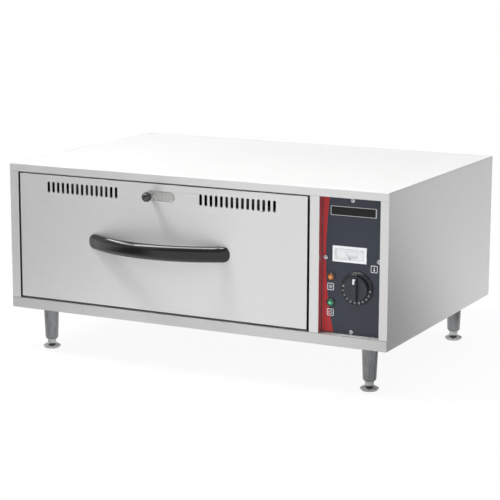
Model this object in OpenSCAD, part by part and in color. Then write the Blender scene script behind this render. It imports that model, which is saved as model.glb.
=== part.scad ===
// Single-drawer food warmer on short legs: a stainless cabinet with an insulated hot cavity,
// a roller drawer that carries one full-size food pan, and a recessed control panel.
// Units are millimetres. Pieces are drawn in cabinet coordinates: X runs from the cabinet's left
// side to its right, Y from its front face to its back, Z up from its underside.

/* [Cabinet] */
// Overall width of the cabinet
cabinet_w = 737; // [680:1:900]
// Overall depth of the cabinet, back panel included
cabinet_d = 502; // [490:1:640]
// Height of the cabinet without its legs
cabinet_h = 264; // [258:1:320]
// Thickness of the outer sheets
skin_t = 1.2; // [0.8:0.1:1.6]
// Thickness of the cavity's sheets
liner_t = 1; // [0.8:0.1:1.5]
// Width of the front frame left of the drawer
left_stile_w = 18; // [16:0.5:30]
// Width of the front frame right of the controls
right_stile_w = 15; // [14:0.5:30]
// Width of the upright between the drawer and the controls
mullion_w = 17.5; // [17:0.5:30]
// Height of the front frame above the openings
top_rail_h = 14; // [12:0.5:25]
// Height of the front frame below the openings
bottom_rail_h = 19; // [18:0.5:30]
// Width of the opening for the controls
control_w = 108.5; // [100:0.5:130]

/* [Drawer] */
// Gap at each side of the drawer front
drawer_side_gap = 4; // [2:0.5:6]
// Gap above the drawer front
drawer_top_gap = 2.5; // [1.5:0.5:5]
// Gap below the drawer front
drawer_bottom_gap = 3.5; // [2:0.5:6]
// Thickness of the insulated drawer front
drawer_front_t = 30; // [24:1:40]
// How far the drawer pulls out
drawer_travel = 370; // [300:5:375]
// Outer length of the food pan's rim, across the drawer
pan_rim_w = 527; // [500:1:530]
// Outer width of the food pan's rim, along the drawer
pan_rim_d = 324; // [300:1:330]
// Depth of the food pan
pan_h = 150; // [65:5:150]

/* [Handle] */
// Overall length of the bow handle
handle_l = 281; // [200:1:320]
// Height of the handle's bar
handle_h = 27; // [20:0.5:34]
// How far the bow stands out from the drawer front
handle_reach = 46; // [36:1:60]
// Thickness of the bow
handle_t = 11; // [8:0.5:14]

/* [Vents] */
// Number of slots in each group
vent_slots = 15; // [8:1:15]
// Distance from one slot to the next
vent_pitch = 10; // [8:0.5:10]
// Width of one slot
vent_slot_w = 5; // [3:0.1:6]
// Height of one slot
vent_slot_h = 19.5; // [14:0.5:20]
// Travel of the vent slide
vent_travel = 37; // [30:1:40]

/* [Controls] */
// How far the control panel lies behind the front frame
recess_d = 14; // [10:0.5:18]
// Diameter of the dial ring
dial_d = 56; // [50:1:62]
// Diameter of the thermostat knob
knob_d = 42; // [34:1:46]

/* [Legs] */
// Height from the floor to the cabinet's underside
leg_h = 82; // [78:1:110]
// Distance of each leg's axis from the cabinet's side
leg_inset_x = 50.5; // [45:0.5:80]
// Distance of each leg's axis from the cabinet's front and back
leg_inset_y = 50; // [45:1:80]
// How far each levelling foot screws out
foot_travel = 20; // [10:1:22]

/* [Hidden] */
$fn = 48;
cut = 1;             // overrun of a cutting tool past the face it opens
fit_gap = 0.3;       // gap between sheets that lie side by side
run_gap = 0.3;       // gap between faces that move past each other
shaft_gap = 0.08;    // radial gap round a turning or sliding shaft
thread_gap = 0.05;   // radial gap in a threaded joint

// Cabinet: places worked out from the driving sizes
back_t = 1;
wrap_d = cabinet_d - back_t;
return_w = 12;                       // width of the shell's turned-in rear and bottom edges
jamb_d = 12;                         // depth of the turned-in edges round the drawer opening
floor_top = 2 * skin_t;              // the base lies on the sides' turned-in bottom edges
opening_x0 = left_stile_w;
control_x1 = cabinet_w - right_stile_w;
control_x0 = control_x1 - control_w;
opening_x1 = control_x0 - mullion_w;
opening_z0 = bottom_rail_h;
opening_z1 = cabinet_h - top_rail_h;
opening_xc = (opening_x0 + opening_x1) / 2;
control_xc = (control_x0 + control_x1) / 2;

// Cavity
rear_insulation_t = 22;
cavity_y0 = jamb_d + fit_gap;
cavity_y1 = wrap_d - rear_insulation_t - liner_t;
liner_foot = 8;                      // width of the liner's turned-in lower edges

// Insulation
board_gap = 0.4;                     // gap between a board and the sheet beside it
board_x0 = 2 * skin_t + fit_gap + board_gap;
plate_pocket = 66;                   // side of the pocket over a leg plate
plate_pocket_h = 13;

// Rubber bumpers
bumper_r = 8;
bumper_inset = 90;                   // distance of a bumper's axis from the cavity's side
bumper_stem_r = 3;
bumper_stem_l = 10;

// Rollers and rails
roller_r = 12.5;
roller_w = 7;
roller_bore_r = 3.1;
roller_pin_r = roller_bore_r - shaft_gap;
roller_head_r = 5;
roller_head_t = 0.6;
roller_boss_t = 0.5;                 // how far the hub stands out at each side
roller_groove_t = 2;
roller_rim_t = 2.5;
roller_shoulder_t = 1.7;
rail_t = 1.5;
rail_flange = 12;                    // width of the cabinet rail, from the cavity's wall
rail_height = 141;                   // height of the rail's running face above the cavity's floor
rail_z0 = opening_z0 + rail_height;
rail_inner_h = 29;
rail_front_gap = 4;
rail_rear_gap = 6;
rail_y0 = drawer_front_t + rail_front_gap;
rail_y1 = cavity_y1 - rail_rear_gap;
web_gap = 1.5;                       // gap from the cabinet rail to the drawer's side
front_roller_inset = 16;             // distance of the front roller's pin from the rail's end
rear_roller_inset = 23;              // distance of the rear roller's pin from the cavity's rear
front_roller_y = rail_y0 + front_roller_inset;
rear_roller_y = cavity_y1 - rear_roller_inset;
roller_z = rail_z0 + roller_r + run_gap;
front_web_gap = 2;                   // gap from the rail's web to the front roller
rear_web_gap = 2.5;
front_roller_u = rail_t + front_web_gap;
rear_roller_u = rail_t + rear_web_gap;
track_z = roller_z + roller_r + run_gap;
stop_pin_r = 3;
stop_pin_l = 6;
stop_pin_reach = roller_r + stop_pin_r + run_gap;
stop_pin_y = max(rear_roller_y - drawer_travel - stop_pin_reach, front_roller_y + stop_pin_reach);

// Drawer front
drawer_x0 = opening_x0 + drawer_side_gap;
drawer_x1 = opening_x1 - drawer_side_gap;
drawer_z0 = opening_z0 + drawer_bottom_gap;
drawer_z1 = opening_z1 - drawer_top_gap;
inner_panel_t = 1.2;
inner_panel_y = drawer_front_t - inner_panel_t;

// Vents
vent_drop = 23.7;                    // distance of the slots' middle below the opening's top
vent_z = opening_z1 - vent_drop;
vent_group_offset = 154;             // distance of a group's middle from the drawer's middle
vent_span = (vent_slots - 1) * vent_pitch;
window_w = 36;                       // width of one window in the inner panel
window_h = 16;
window_inset = 14;                   // distance of a window's middle from the group's last slot
window_offset = vent_span / 2 - window_inset;

// Vent slide
stem_r = 3;
stem_offset = 13.5;                  // how far left of the middle the stem stands, vents open
stem_x = opening_xc - stem_offset;
knob_slot_h = 18.5;
knob_slot_reach = 9.75;              // how far the slot runs past the stem at each end
knob_slot_x0 = stem_x - knob_slot_reach;
knob_slot_x1 = stem_x + vent_travel + knob_slot_reach;
ball_r = 8.7;
ball_y = -15;                        // middle of the ball, in front of the drawer
ball_bore_l = 7;
slide_plate_t = 1;
slide_plate_y = skin_t + run_gap;
slide_plate_lap = 4;                 // how far the plate reaches past the slot on every side
slide_plate_h = knob_slot_h + 2 * slide_plate_lap;
spacer_r = 5;
shutter_t = 1;
shutter_y = inner_panel_y - run_gap - shutter_t;
shutter_lap = 5;                     // how far the shutter closes past each window
shutter_h = window_h + 2 * shutter_lap;
guide_t = 1;
guide_lip = 3;
guide_l = 24;                        // length of one guide clip
guide_x_offsets = [95, 213];         // distances of the clips from the drawer's middle

// Handle
handle_height = 117;                 // height of the bar's middle above the cavity's floor
handle_z = opening_z0 + handle_height;
handle_half = handle_l / 2;
handle_r = (handle_half * handle_half + handle_reach * handle_reach) / (2 * handle_reach);
handle_edge_r = 5.5;                 // bevel along the bar's front edges
handle_end_share = 0.48;              // roundness of the bar's ends, as a share of its height
handle_end_r = handle_h * handle_end_share;
handle_screw_inset = 12;             // distance of a fixing screw from the handle's end
handle_screw_x = handle_half - handle_screw_inset;
handle_screw_places = [opening_xc - handle_screw_x, opening_xc + handle_screw_x];
handle_screw_r = 2.5;
handle_screw_l = 6;
screw_head_t = 2.4;
screw_head_factor = 1.9;             // a pan head's radius as a multiple of the thread's
screw_crown_share = 0.8;             // a pan head's radius at its crown, as a share of its base's

// Drawer box
box_t = 1.5;
box_u = rail_flange + web_gap;       // distance of the box's side from the cavity's wall
box_x0 = opening_x0 + box_u;
box_x1 = opening_x1 - box_u;
box_y0 = drawer_front_t;
box_rear_gap = 13.5;
box_y1 = cavity_y1 - box_rear_gap;
box_z0 = rail_z0;
track_end_gap = 2.5;                 // gap from the track's end to the rear roller
track_y1 = rear_roller_y - roller_r - track_end_gap;
box_h = 43;                          // height of the drawer's sides
frame_z = box_z0 + box_h;            // underside of the pan frame
bumper_l = cavity_y1 - box_y1 - run_gap;
bumper_x = [opening_x0 + bumper_inset, opening_x1 - bumper_inset];
bumper_places = [for (x = bumper_x) [x, (box_z0 + frame_z) / 2]];
frame_t = 1.5;
frame_lip = 17;                      // width of the box's turned-in top edge
box_front_lip = 15;

// Food pan
pan_t = 0.8;
pan_rim_t = 1.5;
pan_rim_lip = 11;                    // width of the rim outside the pan's wall
pan_corner_r = 30;
pan_taper = 14;                      // how much narrower each side is at the bottom
pan_front_gap = 18;                  // gap from the drawer front to the pan's rim
pan_y0 = drawer_front_t + pan_front_gap;
pan_xc = opening_xc;
pan_yc = pan_y0 + pan_rim_d / 2;
pan_hole_gap = 2;                    // gap from the pan's wall to the frame
pan_w = min(pan_rim_w, box_x1 - box_x0 - 2 * (frame_lip - pan_rim_lip + pan_hole_gap));
frame_rear_window = 45;              // depth of the lightening window behind the pan
frame_window_r = 8;
pan_floor_r = 10;                    // bevel between the pan's walls and its floor

// Heating element
element_r = 4;
element_bend_r = 40;
element_rise = 12;                   // height of the tube's axis above the cavity's floor
element_z = opening_z0 + element_rise;
element_front = 98;                  // distance of the first run from the cavity's front
element_y0 = cavity_y0 + element_front;
element_left = 100;                  // distance of the left bends' axis from the cavity's side
element_x0 = opening_x0 + element_left;
element_right = 80;                  // distance of the right bend's axis from the cavity's side
element_x1 = opening_x1 - element_right;
element_pin_l = 14;
element_pin_r = 1.6;
element_collar_r = 8;
element_collar_t = 5;
element_tail_l = 6;                  // length of tube past its collar
element_terminal_y = [element_y0, element_y0 + 6 * element_bend_r];
clip_t = 2;
clip_w = 16;
clip_foot = 10;
clip_x_shares = [0.2, 0.8];          // places of the clips along a run
wall_hole_clear = 0.6;
wall_hole_r = element_r + wall_hole_clear;

// Temperature probes
bulb_r = 3;
bulb_l = 70;
bulb_turn_r = 4;                     // bend from the bulb to the wall
bulb_clip_shares = [0.15, 0.75];     // places of the clips along a bulb
capillary_r = 1;
capillary_clear = 0.5;
capillary_hole_r = capillary_r + capillary_clear;
capillary_tail_l = 12;               // length of straight tube past the wall
probe_drop_share = 0.3;              // how far below the axis the tube joins the thermostat
bulb_u = 7;                          // distance of a bulb's axis from the cavity's wall
probe_rise = 38;                     // height of the bulbs above the cavity's floor
probe_z = opening_z0 + probe_rise;
probe_front = [170, 300];            // distances of the two bulbs from the cavity's front
thermostat_bulb_y = cavity_y0 + probe_front[0];
thermometer_bulb_y = cavity_y0 + probe_front[1];
bulb_clip_w = 8;
bulb_clip_t = 1;

// Control panel
panel_t = 1.5;
panel_gap = 0.4;
recess_y = [0, recess_d + panel_t];  // depth of the edges round the controls
overlay_t = 0.3;
mount_ring_w = 9;
panel_screw_r = 2;
panel_screw_inset = 5;               // distance of a screw from the opening's top or bottom
panel_screw_side_inset = 6.5;        // distance of a side screw from the opening's side
panel_screw_rise = 127.4;            // height of the side screws above the opening's floor
panel_screw_side_z = opening_z0 + panel_screw_rise;
panel_screw_places = [
    [control_xc, opening_z1 - panel_screw_inset],
    [control_xc, opening_z0 + panel_screw_inset],
    [control_x0 + panel_screw_side_inset, panel_screw_side_z],
    [control_x1 - panel_screw_side_inset, panel_screw_side_z]
];
panel_screw_l = 8;
panel_screw_turn = 20;
screw_slot_w = 0.8;
screw_slot_d = 0.8;
overlay_hole_gap = 0.3;
screw_washer_gap = 0.2;

// Nameplate without a name
nameplate_w = 82;
nameplate_h = 15.6;
nameplate_t = 0.8;
nameplate_corner_r = 1;
nameplate_place = [1.5, -23.7];      // from the top middle of the opening
nameplate_x = control_xc + nameplate_place[0];
nameplate_z = opening_z1 + nameplate_place[1];

// Thermometer
meter_w = 60.5;
meter_h = 26.4;
meter_place = [-4.4, 135.6];         // from the bottom middle of the opening
meter_x = control_xc + meter_place[0];
meter_z = opening_z0 + meter_place[1];
meter_proud = 2.4;
meter_rim = 4.2;
meter_body_w = 56;
meter_body_h = 22;
meter_body_d = 26;
meter_wall = 1.4;
meter_pocket_d = 3.2;                // depth of the pocket, from the bezel's face
meter_lens_t = 0.8;
meter_lens_seat = 0.5;
meter_dial_t = 0.6;
needle_l = 13;
needle_w = 1;
needle_t = 0.4;
needle_hub_r = 2;
needle_pivot_drop = 7;               // how far the pivot lies below the meter's middle
needle_pin_r = 0.6;
needle_pin_l = 2;
needle_hole_r = needle_pin_r + shaft_gap;
needle_pivot_z = meter_z - needle_pivot_drop;
meter_boss_t = 2.6;
needle_rest_deg = -38;

// Thermostat
dial_place = [9.8, 80];              // from the bottom middle of the opening
dial_x = control_xc + dial_place[0];
dial_z = opening_z0 + dial_place[1];
dial_t = 4;
dial_bevel = 2;
dial_hole_r = 7;
thermostat_w = 36;
thermostat_d = 30;
shaft_r = 3;
shaft_hole_r = shaft_r + shaft_gap;
shaft_depth = 8;
bush_r = 4.8;
bush_nut_r = 6.6;
bush_nut_t = 2.5;
knob_gap = 0.6;
knob_y0 = recess_d - dial_t - overlay_t - knob_gap;
knob_t = 11.5;
knob_bar_w = 10;
knob_bar_t = 6;
knob_edge = 1.5;
knob_bore_l = 9;
tab_w = 6.3;
tab_t = 0.8;
tab_l = 8;
tab_offsets = [-9, 9];

// Lamps
lamp_offset = -37.8;                 // from the middle of the opening
lamp_heights = [95.9, 52.4];         // above the bottom of the opening
lamp_x = control_xc + lamp_offset;
amber_z = opening_z0 + lamp_heights[0];
green_z = opening_z0 + lamp_heights[1];
lamp_r = 7.4;
lamp_bezel_t = 1.6;
lamp_body_r = 4.9;
lamp_body_l = 28;
lens_r = 6.1;
lens_rise = 3.4;
lamp_tab_x = [lamp_x - lamp_body_r / 2, lamp_x + lamp_body_r / 2];

// Terminal block
block_w = 44;
block_d = 24;
block_h = 20;
block_clear = 8;                     // distance of the block from the rear leg's plate
block_well_r = 2.6;
block_well_x = [control_xc - block_w / 3, control_xc, control_xc + block_w / 3];

// Wires
wire_r = 1.25;
wire_sides = 8;
wire_rings = 22;
wire_pull_share = 0.35;              // how far a wire runs on before it turns, as a share of its span
wire_ref = [0.6, 0.1, -0.8];         // a direction that no wire follows
wire_gap = 3.4;                      // distance of a lamp's wires from the block's middle
wire_stack_share = 0.09;

// Cord gland
gland_offset = 8;                    // from the middle of the control opening
gland_x = control_xc + gland_offset;
gland_z = 46;
gland_thread_r = 8;
gland_bore_r = 4.5;
gland_hex_r = 12.5;
gland_hex_t = 6;
gland_dome_r = 9.5;
gland_dome_l = 12;
gland_thread_l = 14;
gland_nut_t = 5;
gland_tip_share = 0.78;

// Back panel
back_lap = 2;                        // how far the panel stays inside the cabinet's edge
louvre_count = 8;
louvre_w = 56;
louvre_h = 4;
louvre_pitch = 11;
louvre_z0 = 120;
back_screw_r = 2;
back_screw_l = 8;
back_screw_shares = [0.15, 0.5, 0.85]; // places of the upper and lower screws along the cavity
back_screw_x = [for (share = back_screw_shares) opening_x1 * share, control_xc];
back_screw_places = concat(
    [for (x = back_screw_x, z = [return_w / 2, cabinet_h - return_w / 2]) [x, z]],
    [for (x = [return_w / 2, cabinet_w - return_w / 2]) [x, cabinet_h / 2]]
);

// Legs
leg_top_r = 14.3;
leg_tip_r = 11.7;
leg_chamfer = 3;
leg_neck = 7;                        // length of the foot's neck that shows
foot_r = 16;
foot_base_r = 13.5;
foot_flare_t = 3.2;                  // height over which the foot flares out from its base
foot_rim_t = 1.6;
foot_dome_t = 5.4;
foot_dome_bands = 6;
foot_stem_r = 7.9;
foot_bore_r = foot_stem_r + shaft_gap;
foot_grip = 16;                      // length of stem still inside the leg when it is screwed out
foot_engaged = foot_travel + foot_grip;
stud_r = 5;
stud_hole_gap = 0.5;
stud_l = 10;
leg_plate_w = 60;
leg_plate_t = 3;
leg_plate_corner_r = 4;
thread_run = 1;
foot_rim_z = foot_flare_t + foot_rim_t;
foot_h = foot_rim_z + foot_dome_t;
leg_l = leg_h - foot_h - leg_neck;
block_y = cabinet_d - leg_inset_y - leg_plate_w / 2 - block_clear - block_d;
block_well_y = [block_y + block_d / 4, block_y + block_d * 3 / 4];
leg_places = [
    [leg_inset_x, leg_inset_y],
    [cabinet_w - leg_inset_x, leg_inset_y],
    [leg_inset_x, cabinet_d - leg_inset_y],
    [cabinet_w - leg_inset_x, cabinet_d - leg_inset_y]
];

// The origin is on the floor, under the middle of the whole outline, handle and gland included
rear_reach = gland_hex_t + gland_dome_l;
middle_y = (cabinet_d + rear_reach - handle_reach) / 2;

// Colours
steel = [0.80, 0.80, 0.80];
bright_steel = [0.70, 0.70, 0.71];
dark_chrome = [0.25, 0.25, 0.26];
galvanised = [0.66, 0.68, 0.70];
wool = [0.86, 0.80, 0.55];
rubber = [0.10, 0.10, 0.10];
nylon = [0.90, 0.89, 0.85];
slate = [0.26, 0.28, 0.33];
black_plastic = [0.07, 0.07, 0.08];
white_plastic = [0.93, 0.93, 0.94];
copper = [0.72, 0.45, 0.28];

// Helpers
module span(x, y, z) {
    translate([x[0], y[0], z[0]]) cube([x[1] - x[0], y[1] - y[0], z[1] - z[0]]);
}

module rod_x(x, y, z, r) translate([x[0], y, z]) rotate([0, 90, 0]) cylinder(h = x[1] - x[0], r = r);

module rod_y(x, y, z, r) translate([x, y[1], z]) rotate([90, 0, 0]) cylinder(h = y[1] - y[0], r = r);

module rod_z(x, y, z, r) translate([x, y, z[0]]) cylinder(h = z[1] - z[0], r = r);

module cone_y(x, y, z, r0, r1) {
    translate([x, y[0], z]) rotate([-90, 0, 0]) cylinder(h = y[1] - y[0], r1 = r0, r2 = r1);
}

// An upright slot with round ends, cut along Y
module upright_slot(x, z, w, h, y) {
    span([x - w / 2, x + w / 2], y, [z - h / 2 + w / 2, z + h / 2 - w / 2]);
    for (end = [-1, 1]) rod_y(x, y, z + end * (h - w) / 2, w / 2);
}

// A level slot with round ends, cut along Y
module level_slot(x, z, h, y) {
    span([x[0] + h / 2, x[1] - h / 2], y, [z - h / 2, z + h / 2]);
    for (end = [x[0] + h / 2, x[1] - h / 2]) rod_y(end, y, z, h / 2);
}

// A plate with round corners, lying in XY
module round_plate(w, d, t, r) {
    linear_extrude(t) {
        square([w - 2 * r, d], center = true);
        square([w, d - 2 * r], center = true);
        for (i = [-1, 1], j = [-1, 1]) translate([i * (w / 2 - r), j * (d / 2 - r)]) circle(r = r);
    }
}

// Draws its children as they are and mirrored about the drawer's middle
module both_sides() {
    children();
    translate([2 * opening_xc, 0, 0]) mirror([1, 0, 0]) children();
}

module right_side() translate([2 * opening_xc, 0, 0]) mirror([1, 0, 0]) children();

// A pan-head screw that enters along +Y from the face at y
module front_screw(x, y, z, r, l, slot_deg) {
    difference() {
        union() {
            rod_y(x, [y, y + l], z, r);
            cone_y(x, [y - screw_head_t, y], z, r * screw_head_factor * screw_crown_share,
                   r * screw_head_factor);
        }
        translate([x, y - screw_head_t, z]) rotate([0, slot_deg, 0]) {
            for (turn = [0, 90]) rotate([0, turn, 0])
                cube([r * screw_head_factor, 2 * screw_slot_d, screw_slot_w], center = true);
        }
    }
}

// Cabinet shell
module wrap_screw_holes() {
    for (p = back_screw_places)
        rod_y(p[0], [wrap_d - skin_t - cut, wrap_d + cut], p[1], back_screw_r + thread_gap);
}

// The top sheet, folded down into the front frame's top rail and into a narrow rear edge
module top_panel() {
    color(steel) difference() {
        union() {
            span([0, cabinet_w], [0, wrap_d], [cabinet_h - skin_t, cabinet_h]);
            span([0, cabinet_w], [0, skin_t], [opening_z1, cabinet_h]);
            span([left_stile_w - skin_t, opening_x1], [0, jamb_d], [opening_z1, opening_z1 + skin_t]);
            span([control_x0, control_x1 + skin_t], recess_y, [opening_z1, opening_z1 + skin_t]);
            span([0, cabinet_w], [wrap_d - skin_t, wrap_d], [cabinet_h - return_w, cabinet_h]);
        }
        wrap_screw_holes();
    }
}

// A side sheet, folded in at the front into a stile with a jamb, and at the bottom and the rear
module side_panel(sheet_x, stile_x, return_x, jamb_x, jamb_y) {
    all_x = [-cut, cabinet_w + cut];
    z = [opening_z0, opening_z1 - fit_gap / 2];
    color(steel) difference() {
        union() {
            span(sheet_x, [0, wrap_d], [0, cabinet_h - skin_t]);
            span(stile_x, [0, skin_t], z);
            span(jamb_x, jamb_y, z);
            span(return_x, [0, wrap_d], [0, skin_t]);
            span(return_x, [wrap_d - skin_t, wrap_d], [0, cabinet_h - skin_t]);
        }
        span(all_x, [-cut, skin_t + fit_gap], [-cut, opening_z0 - fit_gap / 2]);
        span(all_x, [-cut, skin_t + fit_gap], [z[1], cabinet_h]);
        span(all_x, [wrap_d - skin_t - fit_gap, wrap_d + cut],
             [cabinet_h - return_w - fit_gap / 2, cabinet_h]);
        wrap_screw_holes();
    }
}

module left_side_panel() {
    side_panel([0, skin_t], [0, left_stile_w], [0, return_w], [left_stile_w - skin_t, left_stile_w],
               [0, jamb_d]);
}

module right_side_panel() {
    side_panel([cabinet_w - skin_t, cabinet_w], [control_x1, cabinet_w], [cabinet_w - return_w, cabinet_w],
               [control_x1, control_x1 + skin_t], recess_y);
}

module base_pan() {
    inner_x = [skin_t + fit_gap, cabinet_w - skin_t - fit_gap];
    rear_x = [return_w + fit_gap, cabinet_w - return_w - fit_gap];
    sill_z = [opening_z0 - fit_gap - skin_t, opening_z0 - fit_gap];
    rear = wrap_d - skin_t - fit_gap;
    color(steel) difference() {
        union() {
            span([0, cabinet_w], [0, skin_t], [0, opening_z0 - fit_gap]);
            span(inner_x, [0, rear], [skin_t, floor_top]);
            span(rear_x, [rear - cut, wrap_d], [skin_t, floor_top]);
            span(rear_x, [wrap_d - skin_t, wrap_d], [skin_t, return_w]);
            span([left_stile_w, opening_x1], [0, jamb_d], sill_z);
            span([control_x0, control_x1], recess_y, sill_z);
            span([inner_x[0], inner_x[0] + skin_t], [2 * skin_t, rear], [skin_t, return_w]);
            span([inner_x[1] - skin_t, inner_x[1]], [2 * skin_t, rear], [skin_t, return_w]);
        }
        for (leg = leg_places) rod_z(leg[0], leg[1], [0, floor_top + cut], stud_r + stud_hole_gap);
        for (x = back_screw_x)
            rod_y(x, [wrap_d - skin_t - cut, wrap_d + cut], return_w / 2, back_screw_r + thread_gap);
    }
}

module mullion() {
    z = [opening_z0, opening_z1 - fit_gap / 2];
    color(steel) {
        span([opening_x1, control_x0], [0, skin_t], z);
        span([opening_x1, opening_x1 + skin_t], [0, jamb_d], z);
        span([control_x0 - skin_t, control_x0], recess_y, z);
    }
}

module panel_mount_frame() {
    y = [recess_d + panel_t, recess_d + panel_t + skin_t];
    color(galvanised) difference() {
        span([control_x0 - skin_t, control_x1 + skin_t], y,
             [opening_z0 - fit_gap - skin_t, opening_z1 + skin_t]);
        span([control_x0 + mount_ring_w, control_x1 - mount_ring_w], [y[0] - cut, y[1] + cut],
             [opening_z0 + mount_ring_w, opening_z1 - mount_ring_w]);
        for (p = panel_screw_places)
            rod_y(p[0], [y[0] - cut, y[1] + cut], p[1], panel_screw_r + thread_gap);
    }
}

module compartment_divider() {
    y = [recess_d + panel_t + skin_t + fit_gap, wrap_d - 2 * skin_t - 2 * fit_gap];
    foot = [control_x0 - skin_t, control_x0 + return_w];
    top = cabinet_h - skin_t - fit_gap;
    color(galvanised) difference() {
        union() {
            span([control_x0 - skin_t, control_x0], y, [floor_top, top]);
            span(foot, y, [floor_top, floor_top + skin_t]);
            span(foot, y, [top - skin_t, top]);
        }
        wall_holes();
    }
}

module back_panel() {
    color(steel) difference() {
        span([back_lap, cabinet_w - back_lap], [wrap_d, cabinet_d], [back_lap, cabinet_h - back_lap]);
        for (p = back_screw_places)
            rod_y(p[0], [wrap_d - cut, cabinet_d + cut], p[1], back_screw_r + screw_washer_gap);
        for (i = [0 : louvre_count - 1])
            level_slot([control_xc - louvre_w / 2, control_xc + louvre_w / 2], louvre_z0 + i * louvre_pitch,
                       louvre_h, [wrap_d - cut, cabinet_d + cut]);
        rod_y(gland_x, [wrap_d - cut, cabinet_d + cut], gland_z, gland_thread_r + thread_gap);
    }
}

module back_panel_screws() {
    color(bright_steel) for (p = back_screw_places)
        translate([0, 2 * cabinet_d, 0]) mirror([0, 1, 0])
            front_screw(p[0], cabinet_d, p[1], back_screw_r, back_screw_l, 0);
}

// Hot cavity and its insulation
module wall_holes() {
    x = [opening_x1 - cut, control_x0 + cut];
    for (y = element_terminal_y) rod_x(x, y, element_z, wall_hole_r);
    for (y = [thermostat_bulb_y, thermometer_bulb_y]) rod_x(x, y, probe_z, capillary_hole_r);
}

module cavity_liner() {
    x = [opening_x0 - liner_t, opening_x1 + liner_t];
    y = [cavity_y0, cavity_y1 + liner_t];
    z = [opening_z0 - 2 * liner_t, opening_z1 + liner_t];
    color(bright_steel) difference() {
        union() {
            span(x, y, [opening_z1, z[1]]);
            span([x[0], opening_x0], y, z);
            span([opening_x1, x[1]], y, z);
            span([x[0], x[0] + liner_foot], y, [z[0], z[0] + liner_t]);
            span([x[1] - liner_foot, x[1]], y, [z[0], z[0] + liner_t]);
        }
        wall_holes();
    }
}

module cavity_floor_and_rear() {
    x = [opening_x0, opening_x1];
    color(bright_steel) difference() {
        union() {
            span(x, [cavity_y0, cavity_y1 + liner_t], [opening_z0 - liner_t, opening_z0]);
            span(x, [cavity_y1, cavity_y1 + liner_t], [opening_z0 - liner_t, opening_z1]);
        }
        for (p = bumper_places)
            rod_y(p[0], [cavity_y1 - cut, cavity_y1 + liner_t + cut], p[1], bumper_stem_r + thread_gap);
    }
}

module insulation_wrap() {
    x = [board_x0, control_x0 - skin_t - board_gap];
    y = [skin_t + board_gap, cavity_y1 + liner_t];
    z = [return_w + board_gap, cabinet_h - skin_t - board_gap];
    color(wool) difference() {
        span(x, y, z);
        span([opening_x0 - liner_t - board_gap, opening_x1 + liner_t + board_gap], [y[0] - cut, y[1] + cut],
             [z[0] - cut, opening_z1 + liner_t + board_gap]);
        wall_holes();
    }
}

// Room in a board for the plates and studs of the legs
module plate_pockets(z) {
    for (leg = leg_places) translate([leg[0], leg[1], z - cut])
        linear_extrude(plate_pocket_h + cut) square(plate_pocket, center = true);
}

module insulation_boards() {
    x = [board_x0, control_x0 - skin_t - board_gap];
    floor_z = [floor_top + board_gap, return_w];
    top_z = opening_z0 - 2 * liner_t - board_gap;
    floor_y = [skin_t + board_gap, cavity_y1 + liner_t];
    rear_y = [cavity_y1 + liner_t + board_gap, wrap_d - skin_t - board_gap];
    liner_x = [opening_x0 - liner_t, opening_x1 + liner_t];
    color(wool) {
        difference() {
            union() {
                span(x, floor_y, floor_z);
                span(liner_x, floor_y, [floor_z[0], top_z]);
            }
            plate_pockets(floor_z[0]);
        }
        difference() {
            span(x, rear_y, [floor_z[0], cabinet_h - skin_t - board_gap]);
            for (p = bumper_places)
                rod_y(p[0], [rear_y[0] - cut, rear_y[0] + bumper_stem_l], p[1], bumper_r);
            for (p = back_screw_places)
                rod_y(p[0], [cabinet_d - back_screw_l - board_gap, wrap_d], p[1], back_screw_r + board_gap);
            plate_pockets(floor_z[0]);
        }
    }
}

module rear_bumpers() {
    color(rubber) for (p = bumper_places) {
        rod_y(p[0], [cavity_y1 - bumper_l, cavity_y1], p[1], bumper_r);
        rod_y(p[0], [cavity_y1 - cut, cavity_y1 + liner_t + bumper_stem_l / 2], p[1], bumper_stem_r);
    }
}

module element_bend(x, y, from_deg) {
    translate([x, y, element_z]) rotate([0, 0, from_deg])
        rotate_extrude(angle = 180) translate([element_bend_r, 0]) circle(r = element_r);
}

module heating_element() {
    collar_x = [control_x0, control_x0 + element_collar_t];
    tube_x1 = collar_x[1] + element_tail_l;
    color(dark_chrome) {
        for (y = element_terminal_y) rod_x([element_x0, tube_x1], y, element_z, element_r);
        for (i = [1, 2])
            rod_x([element_x0, element_x1], element_y0 + 2 * i * element_bend_r, element_z, element_r);
        for (i = [0, 1]) element_bend(element_x0, element_y0 + (4 * i + 1) * element_bend_r, 90);
        element_bend(element_x1, element_y0 + 3 * element_bend_r, -90);
    }
    color(bright_steel) for (y = element_terminal_y) {
        rod_x([tube_x1 - cut, tube_x1 + element_pin_l], y, element_z, element_pin_r);
        difference() {
            rod_x(collar_x, y, element_z, element_collar_r);
            rod_x([collar_x[0] - cut, collar_x[1] + cut], y, element_z, element_r - fit_gap);
        }
    }
}

module element_clip(x, y) {
    bore_r = element_r + thread_gap;
    difference() {
        span([x, x + clip_t], [y - clip_w / 2, y + clip_w / 2], [opening_z0, element_z + clip_w / 2]);
        rod_x([x - cut, x + clip_t + cut], y, element_z, bore_r);
    }
    span([x, x + clip_foot], [y - clip_w / 2, y + clip_w / 2], [opening_z0, opening_z0 + clip_t]);
}

module bulb_clip(y) {
    x = opening_x1 - bulb_u;
    ring_r = bulb_r + thread_gap;
    difference() {
        union() {
            rod_y(x, [y, y + bulb_clip_w], probe_z, ring_r + bulb_clip_t);
            span([x, opening_x1 - bulb_clip_t], [y, y + bulb_clip_w],
                 [probe_z + ring_r, probe_z + ring_r + bulb_clip_t]);
        }
        rod_y(x, [y - cut, y + bulb_clip_w + cut], probe_z, ring_r);
    }
    span([opening_x1 - bulb_clip_t, opening_x1], [y, y + bulb_clip_w],
         [probe_z + ring_r, probe_z + ring_r + bulb_clip_w]);
}

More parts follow.
